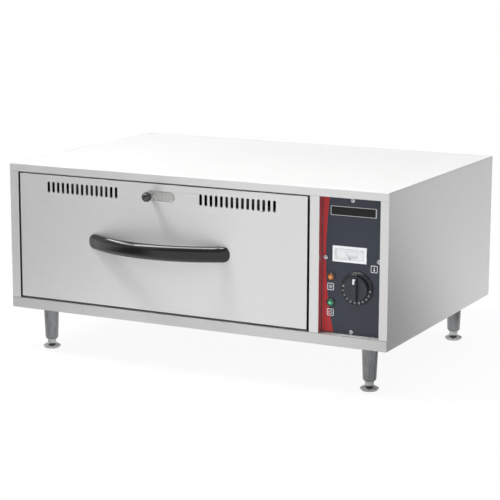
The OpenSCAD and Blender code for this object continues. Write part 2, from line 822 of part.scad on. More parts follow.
module element_and_probe_clips() {
    run = element_x1 - element_x0;
    color(bright_steel) {
        for (i = [0 : 3], share = clip_x_shares)
            element_clip(element_x0 + run * share, element_y0 + 2 * i * element_bend_r);
        for (y = [thermostat_bulb_y, thermometer_bulb_y], share = bulb_clip_shares)
            bulb_clip(y + bulb_turn_r + bulb_l * share);
    }
}

// Roller slides: each is an upright web with a track strip below and a keeper strip above
module rail_web() {
    x = [opening_x0, opening_x0 + rail_t];
    difference() {
        span(x, [rail_y0, rail_y1], [rail_z0 - rail_t, rail_z0 + rail_inner_h + rail_t]);
        rod_x([x[0] - cut, x[1] + cut], front_roller_y, roller_z, roller_pin_r + thread_gap);
    }
}

module rail_strip(z) {
    span([opening_x0 + rail_t, opening_x0 + rail_flange], [rail_y0, rail_y1], [z, z + rail_t]);
}

module cabinet_rails() color(galvanised) both_sides() rail_web();

module rail_tracks() color(galvanised) both_sides() rail_strip(rail_z0 - rail_t);

module rail_keepers() color(galvanised) both_sides() rail_strip(rail_z0 + rail_inner_h);

module rail_stop_pins() {
    x = opening_x0 + rail_t;
    color(bright_steel) both_sides() rod_x([x, x + stop_pin_l], stop_pin_y, roller_z, stop_pin_r);
}

module roller(u, y) {
    x = [opening_x0 + u, opening_x0 + u + roller_w];
    difference() {
        union() {
            rod_x(x, y, roller_z, roller_r);
            rod_x([x[0] - roller_boss_t, x[1] + roller_boss_t], y, roller_z, roller_head_r);
        }
        rod_x([x[0] - roller_boss_t - cut, x[1] + roller_boss_t + cut], y, roller_z, roller_bore_r);
        for (side = [0, 1]) ring_groove([x[side] - roller_groove_t, x[side] + roller_groove_t], y);
    }
}

module ring_groove(x, y) {
    difference() {
        rod_x(x, y, roller_z, roller_r - roller_rim_t);
        rod_x([x[0] - cut, x[1] + cut], y, roller_z, roller_head_r);
    }
}

module front_roller_left() color(nylon) roller(front_roller_u, front_roller_y);

module front_roller_right() color(nylon) right_side() roller(front_roller_u, front_roller_y);

module rear_roller_left() color(nylon) roller(rear_roller_u, rear_roller_y);

module rear_roller_right() color(nylon) right_side() roller(rear_roller_u, rear_roller_y);

module front_roller_pins() {
    head_x = opening_x0 + front_roller_u + roller_w + roller_boss_t + fit_gap;
    color(bright_steel) both_sides() {
        rod_x([opening_x0, head_x + roller_head_t / 2], front_roller_y, roller_z, roller_pin_r);
        rod_x([head_x, head_x + roller_head_t / 2], front_roller_y, roller_z, roller_head_r - thread_gap);
    }
}

module rear_roller_pins() {
    head_x = opening_x0 + rear_roller_u - roller_boss_t - fit_gap;
    color(bright_steel) both_sides() {
        rod_x([head_x - roller_head_t / 2, box_x0 + box_t], rear_roller_y, roller_z, roller_pin_r);
        rod_x([head_x - roller_head_t / 2, head_x], rear_roller_y, roller_z, roller_head_r - thread_gap);
        rod_x([box_x0 - roller_shoulder_t, box_x0], rear_roller_y, roller_z, roller_head_r - thread_gap);
    }
}

// Control compartment
module panel_plate(y, gap) {
    ends = [y[0] - cut, y[1] + cut];
    difference() {
        span([control_x0 + gap, control_x1 - gap], y, [opening_z0 + gap, opening_z1 - gap]);
        for (z = [amber_z, green_z]) rod_y(lamp_x, ends, z, lamp_body_r + overlay_hole_gap);
        rod_y(dial_x, ends, dial_z, bush_r + overlay_hole_gap);
        meter_box(meter_body_w + 2 * overlay_hole_gap, meter_body_h + 2 * overlay_hole_gap, ends);
        for (p = panel_screw_places) rod_y(p[0], ends, p[1], panel_screw_r + screw_washer_gap);
    }
}

module control_panel() color(bright_steel) panel_plate([recess_d, recess_d + panel_t], panel_gap);

module panel_overlay() color(slate) panel_plate([recess_d - overlay_t, recess_d], panel_gap + fit_gap);

module panel_screws() {
    color(bright_steel) for (p = panel_screw_places)
        front_screw(p[0], recess_d - overlay_t, p[1], panel_screw_r, panel_screw_l, panel_screw_turn);
}

module blank_nameplate() {
    y = recess_d - overlay_t;
    color(black_plastic) translate([nameplate_x, y, nameplate_z]) rotate([90, 0, 0])
        round_plate(nameplate_w, nameplate_h, nameplate_t, nameplate_corner_r);
}

module meter_box(w, h, y) span([meter_x - w / 2, meter_x + w / 2], y, [meter_z - h / 2, meter_z + h / 2]);

module thermometer_case() {
    y0 = recess_d - overlay_t - meter_proud;
    floor_y = y0 + meter_pocket_d;
    back_y = recess_d + meter_body_d;
    pocket_w = meter_w - 2 * meter_rim;
    pocket_h = meter_h - 2 * meter_rim;
    color(white_plastic) difference() {
        union() {
            meter_box(meter_w, meter_h, [y0, recess_d - overlay_t]);
            meter_box(meter_body_w, meter_body_h, [recess_d - overlay_t - fit_gap, back_y]);
        }
        meter_box(pocket_w, pocket_h, [y0 - cut, floor_y]);
        meter_box(pocket_w + 2 * meter_lens_seat, pocket_h + 2 * meter_lens_seat,
                  [y0 - cut, y0 + meter_lens_t]);
        meter_box(meter_body_w - 2 * meter_wall, meter_body_h - 2 * meter_wall,
                  [floor_y + meter_wall + meter_boss_t, back_y + cut]);
        rod_y(meter_x, [floor_y - cut, floor_y + meter_boss_t], needle_pivot_z, needle_hole_r);
    }
}

module thermometer_dial() {
    y = recess_d - overlay_t - meter_proud + meter_pocket_d;
    gap = 2 * fit_gap;
    color([0.86, 0.87, 0.86]) difference() {
        meter_box(meter_w - 2 * meter_rim - gap, meter_h - 2 * meter_rim - gap, [y - meter_dial_t, y]);
        rod_y(meter_x, [y - meter_dial_t - cut, y + cut], needle_pivot_z, needle_hole_r + shaft_gap);
    }
}

module thermometer_needle() {
    y1 = recess_d - overlay_t - meter_proud + meter_pocket_d - meter_dial_t - run_gap;
    pin_y = [y1 - needle_t, y1 + run_gap + meter_dial_t + needle_pin_l];
    w = needle_w / 2;
    color([0.12, 0.12, 0.12]) {
        translate([meter_x, y1, needle_pivot_z]) rotate([0, needle_rest_deg, 0]) rotate([90, 0, 0])
            linear_extrude(needle_t) polygon([[-w, 0], [w, 0], [w / 2, needle_l], [-w / 2, needle_l]]);
        rod_y(meter_x, [y1 - needle_t, y1], needle_pivot_z, needle_hub_r);
        rod_y(meter_x, pin_y, needle_pivot_z, needle_pin_r);
    }
}

module thermometer_lens() {
    y0 = recess_d - overlay_t - meter_proud;
    w = meter_w - 2 * meter_rim + 2 * meter_lens_seat - fit_gap;
    h = meter_h - 2 * meter_rim + 2 * meter_lens_seat - fit_gap;
    color([0.85, 0.92, 0.95, 0.35]) meter_box(w, h, [y0, y0 + meter_lens_t]);
}

module thermostat_body() {
    y = [recess_d + panel_t, recess_d + panel_t + thermostat_d];
    nut_y = [recess_d - overlay_t - bush_nut_t, recess_d - overlay_t];
    bore_y = [nut_y[0] - 2 * cut, y[0] + shaft_depth + cut];
    color(black_plastic) difference() {
        span([dial_x - thermostat_w / 2, dial_x + thermostat_w / 2], y,
             [dial_z - thermostat_w / 2, dial_z + thermostat_w / 2]);
        rod_y(dial_x, bore_y, dial_z, shaft_hole_r);
    }
    color(bright_steel) {
        difference() {
            rod_y(dial_x, [nut_y[0] - fit_gap, y[0]], dial_z, bush_r);
            rod_y(dial_x, bore_y, dial_z, shaft_hole_r);
        }
        difference() {
            translate([dial_x, nut_y[1], dial_z]) rotate([90, 0, 0])
                cylinder(h = bush_nut_t, r = bush_nut_r, $fn = 6);
            rod_y(dial_x, [nut_y[0] - cut, nut_y[1] + cut], dial_z, bush_r + thread_gap);
        }
        for (tab = tab_offsets)
            span([dial_x + tab - tab_w / 2, dial_x + tab + tab_w / 2], [y[1], y[1] + tab_l],
                 [dial_z - tab_t / 2, dial_z + tab_t / 2]);
    }
}

module thermostat_shaft() {
    y = [knob_y0 - knob_bore_l, recess_d + panel_t + shaft_depth];
    color(bright_steel) rod_y(dial_x, y, dial_z, shaft_r);
}

module thermostat_knob() {
    base_t = knob_t - knob_bar_t;
    bar_y = [knob_y0 - knob_t, knob_y0 - base_t + cut];
    color(black_plastic) difference() {
        union() {
            rod_y(dial_x, [knob_y0 - base_t + knob_edge, knob_y0], dial_z, knob_d / 2);
            cone_y(dial_x, [knob_y0 - base_t, knob_y0 - base_t + knob_edge], dial_z,
                   knob_d / 2 - knob_edge, knob_d / 2);
            intersection() {
                span([dial_x - knob_bar_w / 2, dial_x + knob_bar_w / 2], bar_y,
                     [dial_z - knob_d / 2, dial_z + knob_d / 2]);
                rod_y(dial_x, [bar_y[0] - cut, bar_y[1] + cut], dial_z, knob_d / 2 - knob_edge);
            }
        }
        rod_y(dial_x, [knob_y0 - knob_bore_l, knob_y0 + cut], dial_z, shaft_r + thread_gap);
    }
}

module dial_ring() {
    y = [recess_d - overlay_t - dial_t, recess_d - overlay_t];
    color(black_plastic) difference() {
        union() {
            rod_y(dial_x, [y[0] + dial_bevel, y[1]], dial_z, dial_d / 2);
            cone_y(dial_x, [y[0], y[0] + dial_bevel], dial_z, dial_d / 2 - dial_bevel, dial_d / 2);
        }
        rod_y(dial_x, [y[0] - cut, y[1] + cut], dial_z, dial_hole_r);
    }
}

module lamp_holders() {
    y = [recess_d - overlay_t - lamp_bezel_t, recess_d + lamp_body_l];
    color(dark_chrome) for (z = [amber_z, green_z]) difference() {
        union() {
            rod_y(lamp_x, [y[0], recess_d - overlay_t], z, lamp_r);
            rod_y(lamp_x, [y[0], y[1]], z, lamp_body_r);
            for (x = lamp_tab_x)
                span([x - tab_w / 4, x + tab_w / 4], [y[1] - cut, y[1] + tab_l],
                     [z - tab_t / 2, z + tab_t / 2]);
        }
        rod_y(lamp_x, [y[0] - cut, y[0] + lamp_bezel_t / 2], z, lens_r + thread_gap);
    }
}

module lamp_lens(z) {
    y1 = recess_d - overlay_t - lamp_bezel_t / 2;
    dome_r = (lens_r * lens_r + lens_rise * lens_rise) / (2 * lens_rise);
    translate([lamp_x, y1, z]) rotate([90, 0, 0]) rotate_extrude() {
        square([lens_r, lamp_bezel_t / 2]);
        intersection() {
            translate([0, lamp_bezel_t / 2 + lens_rise - dome_r]) circle(r = dome_r);
            translate([0, lamp_bezel_t / 2]) square([lens_r, lens_rise]);
        }
    }
}

module amber_lens() color([0.85, 0.54, 0.23]) lamp_lens(amber_z);

module green_lens() color([0.18, 0.64, 0.47]) lamp_lens(green_z);

// A bulb along the cavity's wall, and the thin tube that leads from it to its instrument
module probe(y, end, end_dir) {
    x = opening_x1 - bulb_u;
    start_y = y + bulb_turn_r;
    wall_x = control_x0 + capillary_tail_l;
    rod_y(x, [start_y, start_y + bulb_l], probe_z, bulb_r);
    translate([x + bulb_turn_r, start_y, probe_z]) rotate([0, 0, 180])
        rotate_extrude(angle = 90) translate([bulb_turn_r, 0]) circle(r = capillary_r);
    rod_x([x + bulb_turn_r, wall_x], y, probe_z, capillary_r);
    wire([wall_x - cut, y, probe_z], [1, 0, 0], end, end_dir, capillary_r - thread_gap);
}

module thermostat_probe() {
    end = [dial_x, recess_d + panel_t + thermostat_d, dial_z - probe_drop_share * thermostat_w];
    color(copper) probe(thermostat_bulb_y, end, [0, 1, 0]);
}

module thermometer_probe() {
    floor_y = recess_d - overlay_t - meter_proud + meter_pocket_d + meter_wall + meter_boss_t;
    color(copper) probe(thermometer_bulb_y, [meter_x, floor_y, meter_z], [0, 1, 0]);
}

// A bent wire from p to q, leaving each end straight along its direction
function bend_point(p, a, b, q, t) =
    pow(1 - t, 3) * p + 3 * pow(1 - t, 2) * t * a + 3 * (1 - t) * t * t * b + pow(t, 3) * q;

function bend_dir(p, a, b, q, t) =
    pow(1 - t, 2) * (a - p) + 2 * (1 - t) * t * (b - a) + t * t * (q - b);

module wire(p, p_dir, q, q_dir, r) {
    pull = norm(q - p) * wire_pull_share;
    a = p + pull * p_dir;
    b = q + pull * q_dir;
    turn = 360 / wire_sides;
    points = [for (i = [0 : wire_rings])
        let (t = i / wire_rings, d = bend_dir(p, a, b, q, t), f = d / norm(d),
             s = cross(f, wire_ref), u = s / norm(s), v = cross(u, f), c = bend_point(p, a, b, q, t))
        for (k = [0 : wire_sides - 1]) c + r * (cos(k * turn) * u + sin(k * turn) * v)];
    last = wire_rings * wire_sides;
    faces = concat(
        [[for (k = [wire_sides - 1 : -1 : 0]) k]],
        [for (i = [0 : wire_rings - 1], k = [0 : wire_sides - 1], half = [0, 1])
            let (n = (k + 1) % wire_sides, a0 = i * wire_sides + k, b0 = i * wire_sides + n,
                 a1 = a0 + wire_sides, b1 = b0 + wire_sides)
            half == 0 ? [a0, b0, a1] : [b0, b1, a1]],
        [[for (k = [0 : wire_sides - 1]) last + k]]
    );
    polyhedron(points = points, faces = faces);
}

module terminal_block() {
    x = [control_xc - block_w / 2, control_xc + block_w / 2];
    z = [floor_top, floor_top + block_h / 2, floor_top + block_h];
    color(nylon) difference() {
        span(x, [block_y, block_y + block_d], [z[0], z[2]]);
        for (well = block_well_x, y = block_well_y) rod_z(well, y, [z[1], z[2] + cut], block_well_r);
    }
    color(bright_steel) for (well = block_well_x, y = block_well_y)
        rod_z(well, y, [z[1], (z[1] + z[2]) / 2], block_well_r - fit_gap);
}

module wiring() {
    back = [0, 1, 0];
    front = [0, -1, 0];
    tab_y = recess_d + panel_t + thermostat_d + tab_l;
    lamp_y = recess_d + lamp_body_l + tab_l;
    pin_x = control_x0 + element_collar_t + element_tail_l + element_pin_l;
    entry = [for (x = block_well_x) [x, block_y, floor_top + block_h / 4]];
    pins = [for (y = element_terminal_y) [pin_x, y, element_z]];
    color([0.65, 0.16, 0.14]) {
        wire([dial_x + tab_offsets[1], tab_y, dial_z], back, entry[2], front, wire_r);
        wire([dial_x + tab_offsets[0], tab_y, dial_z], back, pins[0], [1, 0, 0], wire_r);
    }
    color([0.20, 0.30, 0.62]) wire(pins[1], [1, 0, 0], entry[0], front, wire_r);
    color([0.90, 0.90, 0.88]) for (z = [amber_z, green_z], side = [0, 1])
        wire([lamp_tab_x[side], lamp_y, z], back,
             entry[1] + [(side * 2 - 1) * wire_gap, 0, (z - green_z) * wire_stack_share], front, wire_r);
}

module cord_gland() {
    color(black_plastic) difference() {
        union() {
            translate([gland_x, cabinet_d + gland_hex_t, gland_z]) rotate([90, 0, 0])
                cylinder(h = gland_hex_t, r = gland_hex_r, $fn = 6);
            cone_y(gland_x, [cabinet_d + gland_hex_t, cabinet_d + gland_hex_t + gland_dome_l], gland_z,
                   gland_dome_r, gland_dome_r * gland_tip_share);
            rod_y(gland_x, [cabinet_d - gland_thread_l, cabinet_d], gland_z, gland_thread_r);
        }
        rod_y(gland_x, [cabinet_d - gland_thread_l - cut, cabinet_d + rear_reach + cut], gland_z,
              gland_bore_r);
    }
    color(bright_steel) difference() {
        translate([gland_x, wrap_d, gland_z]) rotate([90, 0, 0])
            cylinder(h = gland_nut_t, r = gland_hex_r, $fn = 6);
        rod_y(gland_x, [wrap_d - gland_nut_t - cut, wrap_d + cut], gland_z, gland_thread_r + thread_gap);
    }
}

// Legs
module leg_plates() {
    color(galvanised) for (leg = leg_places) translate([leg[0], leg[1], floor_top]) difference() {
        round_plate(leg_plate_w, leg_plate_w, leg_plate_t, leg_plate_corner_r);
        translate([0, 0, -cut]) cylinder(h = leg_plate_t + 2 * cut, r = stud_r + thread_gap);
    }
}

module legs() {
    color(bright_steel) for (leg = leg_places) translate([leg[0], leg[1], 0]) {
        cylinder(h = stud_l, r = stud_r);
        difference() {
            union() {
                translate([0, 0, leg_chamfer - leg_l])
                    cylinder(h = leg_l - leg_chamfer + skin_t, r1 = leg_tip_r, r2 = leg_top_r);
                translate([0, 0, -leg_l])
                    cylinder(h = leg_chamfer, r1 = leg_tip_r - leg_chamfer / 2, r2 = leg_tip_r);
            }
            translate([0, 0, -leg_l - cut]) cylinder(h = foot_engaged + thread_run + cut, r = foot_bore_r);
        }
    }
}

module foot(place) {
    dome_r = (foot_r * foot_r + foot_dome_t * foot_dome_t) / (2 * foot_dome_t);
    top = foot_h + leg_neck + foot_engaged;
    dome = [
        for (i = [0 : foot_dome_bands])
            let (r = foot_r + (foot_stem_r - foot_r) * i / foot_dome_bands)
                [r, foot_h - dome_r + sqrt(dome_r * dome_r - r * r)]
    ];
    color(bright_steel) translate([place[0], place[1], -leg_h]) rotate_extrude()
        polygon(concat([[0, 0], [foot_base_r, 0], [foot_r, foot_flare_t]], dome,
                       [[foot_stem_r, top], [0, top]]));
}

module foot_front_left() foot(leg_places[0]);

module foot_front_right() foot(leg_places[1]);

module foot_rear_left() foot(leg_places[2]);

module foot_rear_right() foot(leg_places[3]);

// Drawer front
module drawer_skin() {
    y = [0, inner_panel_y];
    color(steel) difference() {
        span([drawer_x0, drawer_x1], y, [drawer_z0, drawer_z1]);
        span([drawer_x0 + skin_t, drawer_x1 - skin_t], [skin_t, inner_panel_y + cut],
             [drawer_z0 + skin_t, drawer_z1 - skin_t]);
        for (side = [-1, 1], i = [0 : vent_slots - 1])
            upright_slot(opening_xc + side * vent_group_offset + i * vent_pitch - vent_span / 2, vent_z,
                         vent_slot_w, vent_slot_h, [-cut, skin_t + cut]);
        level_slot([knob_slot_x0, knob_slot_x1], vent_z, knob_slot_h, [-cut, skin_t + cut]);
        for (x = handle_screw_places)
            rod_y(x, [-cut, skin_t + cut], handle_z, handle_screw_r + screw_washer_gap);
    }
}

module vent_windows(y) {
    for (group = [-1, 1], side = [-1, 1]) {
        x = opening_xc + group * vent_group_offset + side * window_offset;
        span([x - window_w / 2, x + window_w / 2], y, [vent_z - window_h / 2, vent_z + window_h / 2]);
    }
}

module drawer_inner_panel() {
    y = [inner_panel_y, drawer_front_t];
    color(bright_steel) difference() {
        span([drawer_x0, drawer_x1], y, [drawer_z0, drawer_z1]);
        vent_windows([y[0] - cut, y[1] + cut]);
    }
}

module drawer_insulation() {
    edge = skin_t + board_gap;
    color(wool) difference() {
        span([drawer_x0 + edge, drawer_x1 - edge], [edge, inner_panel_y - board_gap],
             [drawer_z0 + edge, vent_z - shutter_h / 2 - 2 * run_gap - guide_t - board_gap]);
        for (x = handle_screw_places)
            rod_y(x, [0, skin_t + screw_head_t + board_gap], handle_z,
                  handle_screw_r * screw_head_factor + board_gap);
    }
}

module handle_profile() {
    h = handle_h / 2;
    e = handle_edge_r;
    polygon([[-handle_t, -h], [-e, -h], [0, e - h], [0, h - e], [-e, h], [-handle_t, h]]);
}

module handle() {
    centre_y = handle_r - handle_reach;
    color(dark_chrome) difference() {
        intersection() {
            translate([opening_xc, centre_y, handle_z]) rotate([0, 0, 180]) rotate_extrude(angle = 180)
                translate([handle_r, 0]) handle_profile();
            translate([opening_xc, 0, handle_z]) rotate([90, 0, 0])
                round_plate(handle_l, handle_h, handle_reach + cut, handle_end_r);
        }
        for (x = handle_screw_places)
            rod_y(x, [-handle_screw_l - cut, cut], handle_z, handle_screw_r + thread_gap);
    }
}

module handle_screws() {
    color(bright_steel) translate([0, skin_t, 0]) mirror([0, 1, 0]) for (x = handle_screw_places)
        front_screw(x, 0, handle_z, handle_screw_r, skin_t + handle_screw_l, 0);
}

// Vent slide
module vent_knob() {
    color(dark_chrome) translate([stem_x, ball_y, vent_z]) rotate([-90, 0, 0])
        rotate_extrude() difference() {
        intersection() {
            circle(r = ball_r);
            translate([0, -ball_r]) square([ball_r, 2 * ball_r]);
        }
        translate([0, ball_bore_l - ball_r]) square([stem_r + thread_gap, 2 * ball_r]);
    }
}

module vent_stem() {
    plate_y = [slide_plate_y, slide_plate_y + slide_plate_t];
    color(bright_steel) {
        rod_y(stem_x, [ball_y - ball_r + ball_bore_l, shutter_y + shutter_t], vent_z, stem_r);
        rod_y(stem_x, [plate_y[1], shutter_y], vent_z, spacer_r);
    }
}

module vent_slide_plate() {
    y = [slide_plate_y, slide_plate_y + slide_plate_t];
    color(bright_steel) difference() {
        span([knob_slot_x0 - slide_plate_lap - vent_travel, knob_slot_x1 + slide_plate_lap], y,
             [vent_z - slide_plate_h / 2, vent_z + slide_plate_h / 2]);
        rod_y(stem_x, [y[0] - cut, y[1] + cut], vent_z, stem_r + thread_gap);
    }
}

module vent_shutter() {
    y = [shutter_y, shutter_y + shutter_t];
    reach = vent_group_offset + window_offset + window_w / 2 + shutter_lap;
    color(bright_steel) difference() {
        span([opening_xc - reach - vent_travel, opening_xc + reach], y,
             [vent_z - shutter_h / 2, vent_z + shutter_h / 2]);
        vent_windows([y[0] - cut, y[1] + cut]);
        rod_y(stem_x, [y[0] - cut, y[1] + cut], vent_z, stem_r + thread_gap);
    }
}

module shutter_guide(x) {
    edge = vent_z + shutter_h / 2 + run_gap;
    lip_y = shutter_y - run_gap - guide_t;
    span([x - guide_l / 2, x + guide_l / 2], [lip_y, inner_panel_y], [edge, edge + guide_t]);
    span([x - guide_l / 2, x + guide_l / 2], [lip_y, lip_y + guide_t], [edge - guide_lip, edge + guide_t]);
}

module shutter_guides() {
    color(galvanised) for (side = [-1, 1], offset = guide_x_offsets) {
        shutter_guide(opening_xc + side * offset);
        translate([0, 0, 2 * vent_z]) mirror([0, 0, 1]) shutter_guide(opening_xc + side * offset);
    }
}

// Drawer body
module box_side() {
    x = [box_x0, box_x0 + box_t];
    difference() {
        union() {
            span(x, [box_y0, box_y1], [box_z0, frame_z]);
            span([x[0], x[0] + frame_lip], [box_y0, box_y1], [frame_z - box_t, frame_z]);
            span([x[0], x[0] + box_front_lip], [box_y0, box_y0 + box_t], [box_z0, frame_z]);
        }
        rod_x([x[0] - cut, x[1] + cut], rear_roller_y, roller_z, roller_pin_r + thread_gap);
    }
}

module drawer_box() {
    color(galvanised) {
        both_sides() box_side();
        span([box_x0, box_x1], [box_y1 - box_t, box_y1], [box_z0, frame_z]);
    }
}

// The strips that run on the front rollers
module drawer_tracks() {
    color(galvanised) both_sides()
        span([opening_x0 + front_roller_u, box_x0], [box_y0, track_y1], [track_z, track_z + box_t]);
}

module pan_frame() {
    hole_w = pan_w - 2 * pan_rim_lip + 2 * pan_hole_gap;
    hole_d = pan_rim_d - 2 * pan_rim_lip + 2 * pan_hole_gap;
    hole_y1 = pan_yc + hole_d / 2;
    window_y = (hole_y1 + box_y1) / 2;
    color(steel) difference() {
        span([box_x0, box_x1], [box_y0, box_y1], [frame_z, frame_z + frame_t]);
        translate([pan_xc, pan_yc, frame_z - cut])
            round_plate(hole_w, hole_d, frame_t + 2 * cut, pan_corner_r + pan_hole_gap);
        translate([pan_xc, window_y, frame_z - cut])
            round_plate(hole_w - 2 * pan_corner_r, frame_rear_window, frame_t + 2 * cut, frame_window_r);
    }
}

// The tapered body of the pan, drawn in by inset on every side
module pan_solid(inset, z0, z1) {
    w = pan_w / 2 - pan_rim_lip - pan_corner_r;
    d = pan_rim_d / 2 - pan_rim_lip - pan_corner_r;
    r = pan_corner_r - inset;
    hull() for (i = [-1, 1], j = [-1, 1]) {
        translate([pan_xc + i * w, pan_yc + j * d, z1]) cylinder(h = cut, r = r, $fn = 32);
        translate([pan_xc + i * (w - pan_taper), pan_yc + j * (d - pan_taper), z0 + pan_floor_r])
            cylinder(h = pan_t, r = r, $fn = 32);
        translate([pan_xc + i * (w - pan_taper), pan_yc + j * (d - pan_taper), z0])
            cylinder(h = pan_t, r = r - pan_floor_r, $fn = 32);
    }
}

module food_pan() {
    rim_z = frame_z + frame_t;
    floor_z = rim_z + pan_rim_t - pan_h;
    color(steel) difference() {
        union() {
            translate([pan_xc, pan_yc, rim_z])
                round_plate(pan_w, pan_rim_d, pan_rim_t, pan_corner_r + pan_rim_lip);
            pan_solid(0, floor_z, rim_z);
        }
        pan_solid(pan_t, floor_z + pan_t, rim_z + pan_rim_t);
    }
}

// Each piece moved from cabinet coordinates to the floor's
module stand() translate([-cabinet_w / 2, -middle_y, leg_h]) children();

stand() top_panel();
stand() left_side_panel();
stand() right_side_panel();
stand() base_pan();
stand() mullion();
stand() panel_mount_frame();
stand() compartment_divider();
stand() back_panel();
stand() back_panel_screws();
stand() cavity_liner();
stand() cavity_floor_and_rear();
stand() insulation_wrap();
stand() insulation_boards();
stand() rear_bumpers();
stand() heating_element();
stand() element_and_probe_clips();
stand() cabinet_rails();
stand() rail_tracks();
stand() rail_keepers();
stand() rail_stop_pins();
stand() front_roller_pins();
stand() front_roller_left();
stand() front_roller_right();
stand() control_panel();
stand() panel_overlay();
stand() panel_screws();
stand() blank_nameplate();
stand() thermometer_case();
stand() thermometer_dial();
stand() thermometer_needle();
stand() thermometer_lens();
stand() thermometer_probe();
stand() thermostat_body();
stand() thermostat_shaft();
stand() thermostat_knob();
stand() dial_ring();
stand() thermostat_probe();
stand() lamp_holders();
stand() amber_lens();
stand() green_lens();
stand() terminal_block();
stand() wiring();
stand() cord_gland();
stand() leg_plates();
stand() legs();
stand() foot_front_left();
stand() foot_front_right();
stand() foot_rear_left();
stand() foot_rear_right();
stand() drawer_skin();
stand() drawer_inner_panel();
stand() drawer_insulation();
stand() handle();
stand() handle_screws();
stand() shutter_guides();
stand() drawer_box();
stand() drawer_tracks();
stand() pan_frame();
stand() food_pan();
stand() rear_roller_pins();
stand() rear_roller_left();
stand() rear_roller_right();
stand() vent_knob();
stand() vent_stem();
stand() vent_slide_plate();
stand() vent_shutter();
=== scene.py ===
# %% [markdown]
# # A drawer warmer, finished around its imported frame
# The frame holds every sheet, roller and screw at its real size and place. This lesson dresses it.
# A part whose shape is already right only gets its material. A part that the eye reads by its soft
# edges or its printing gets a surface worked out with numpy, which then stands in for the part.

# %% The tools and the frame
from math import radians, sqrt, tau

import bmesh
import bpy
import numpy as np
from mathutils import Matrix, Vector
from mathutils.bvhtree import BVHTree


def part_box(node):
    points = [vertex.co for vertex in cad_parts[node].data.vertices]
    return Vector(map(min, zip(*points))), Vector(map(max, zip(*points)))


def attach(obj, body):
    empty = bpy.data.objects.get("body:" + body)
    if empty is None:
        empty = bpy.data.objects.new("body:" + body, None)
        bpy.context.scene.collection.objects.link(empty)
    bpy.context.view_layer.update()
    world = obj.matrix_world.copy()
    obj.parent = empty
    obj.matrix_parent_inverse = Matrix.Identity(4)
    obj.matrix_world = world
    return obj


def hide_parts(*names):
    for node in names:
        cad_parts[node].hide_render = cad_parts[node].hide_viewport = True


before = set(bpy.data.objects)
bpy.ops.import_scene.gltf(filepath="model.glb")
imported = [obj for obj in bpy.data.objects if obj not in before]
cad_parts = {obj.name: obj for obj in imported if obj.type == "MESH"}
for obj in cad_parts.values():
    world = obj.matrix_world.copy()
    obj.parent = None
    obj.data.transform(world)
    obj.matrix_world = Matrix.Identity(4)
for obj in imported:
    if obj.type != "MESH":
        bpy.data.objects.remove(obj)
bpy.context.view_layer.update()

# %% [markdown]
# ## Places
# A sheet-metal drawing gives sizes in millimetres from the cabinet's lower front left corner, so
# this lesson does too. One function takes such points into the frame, which is in metres.

# %% From the drawing into the frame
CABINET_CORNER = np.array([368.5, 237.0, -82.0])


def place(points):
    """Millimetres from the cabinet's corner become metres from the frame's zero."""
    return (np.asarray(points, float) - CABINET_CORNER) / 1000


print("the cabinet's corner is at", place([0, 0, 0]))

# %% [markdown]
# ## Camera
# The picture was taken with a long lens from the right, a little above the lid. Its place comes from
# the cabinet's corners: a camera that sees all of them where the picture has them is the right one.

# %% The camera at the picture's angle
EYE = (1.4073, -2.7675, 0.7805)
AIM = (-0.44591, 0.87466, -0.19009)
UPRIGHT = (-0.08889, 0.16805, 0.98176)
camera = bpy.data.objects.new("camera", bpy.data.cameras.new("camera"))
camera.data.lens, camera.data.sensor_width = 123.66, 36
turn = Matrix(np.array([np.cross(AIM, UPRIGHT), UPRIGHT, np.negative(AIM)]).T.tolist())
camera.matrix_world = Matrix.Translation(EYE) @ turn.to_4x4()
bpy.context.scene.collection.objects.link(camera)
bpy.context.scene.camera = camera
print("a lens of", camera.data.lens, "mm, turned", [round(a, 3) for a in camera.rotation_euler])

# %% [markdown]
# ## Colour and nodes
# Colours are given as sRGB hex codes, but shaders work in linear light, so one function turns
# the first into the second. A second small function adds a node, sets it and wires it.

# %% Colour, and one function for every node


def colour(code):
    """Linear red, green, blue and alpha of a hex code: a power of 2.4, or a straight line near black."""
    part = np.array([int(code[i:i + 2], 16) for i in (1, 3, 5)]) / 255
    linear = np.where(part > 0.04045, ((part + 0.055) / 1.055) ** 2.4, part / 12.92)
    return (*linear.tolist(), 1.0)


def add(tree, kind, inputs=(), **choices):
    """Adds a node. Choices are its own settings; each input is a number or another node's socket."""
    made = tree.nodes.new("ShaderNode" + kind)
    for name, value in choices.items():
        setattr(made, name, value)
    for name, value in dict(inputs).items():
        if isinstance(value, bpy.types.NodeSocket):
            tree.links.new(value, made.inputs[name])
        else:
            made.inputs[name].default_value = value
    return made


print("mid grey #808080 is", round(colour("#808080")[0], 3), "in linear light")

# %% [markdown]
# ## Studio
# Steel shows its surroundings, so the room matters as much as the metal. The room has a pale floor, a
# white backdrop behind on the left, and large soft lamps: the first above and to the left, a weaker
# one to the right. The eye sees white everywhere. A mirror sees a dimmer room, with a grey screen
# behind on the right and soft grey patches on the floor, two before the drawer and two beside the
# right wall. These make the front and the right wall darker at one end than at the other, which one
# plain white room can't do. Two long narrow lamps overhead draw the bright line along the handle's top.

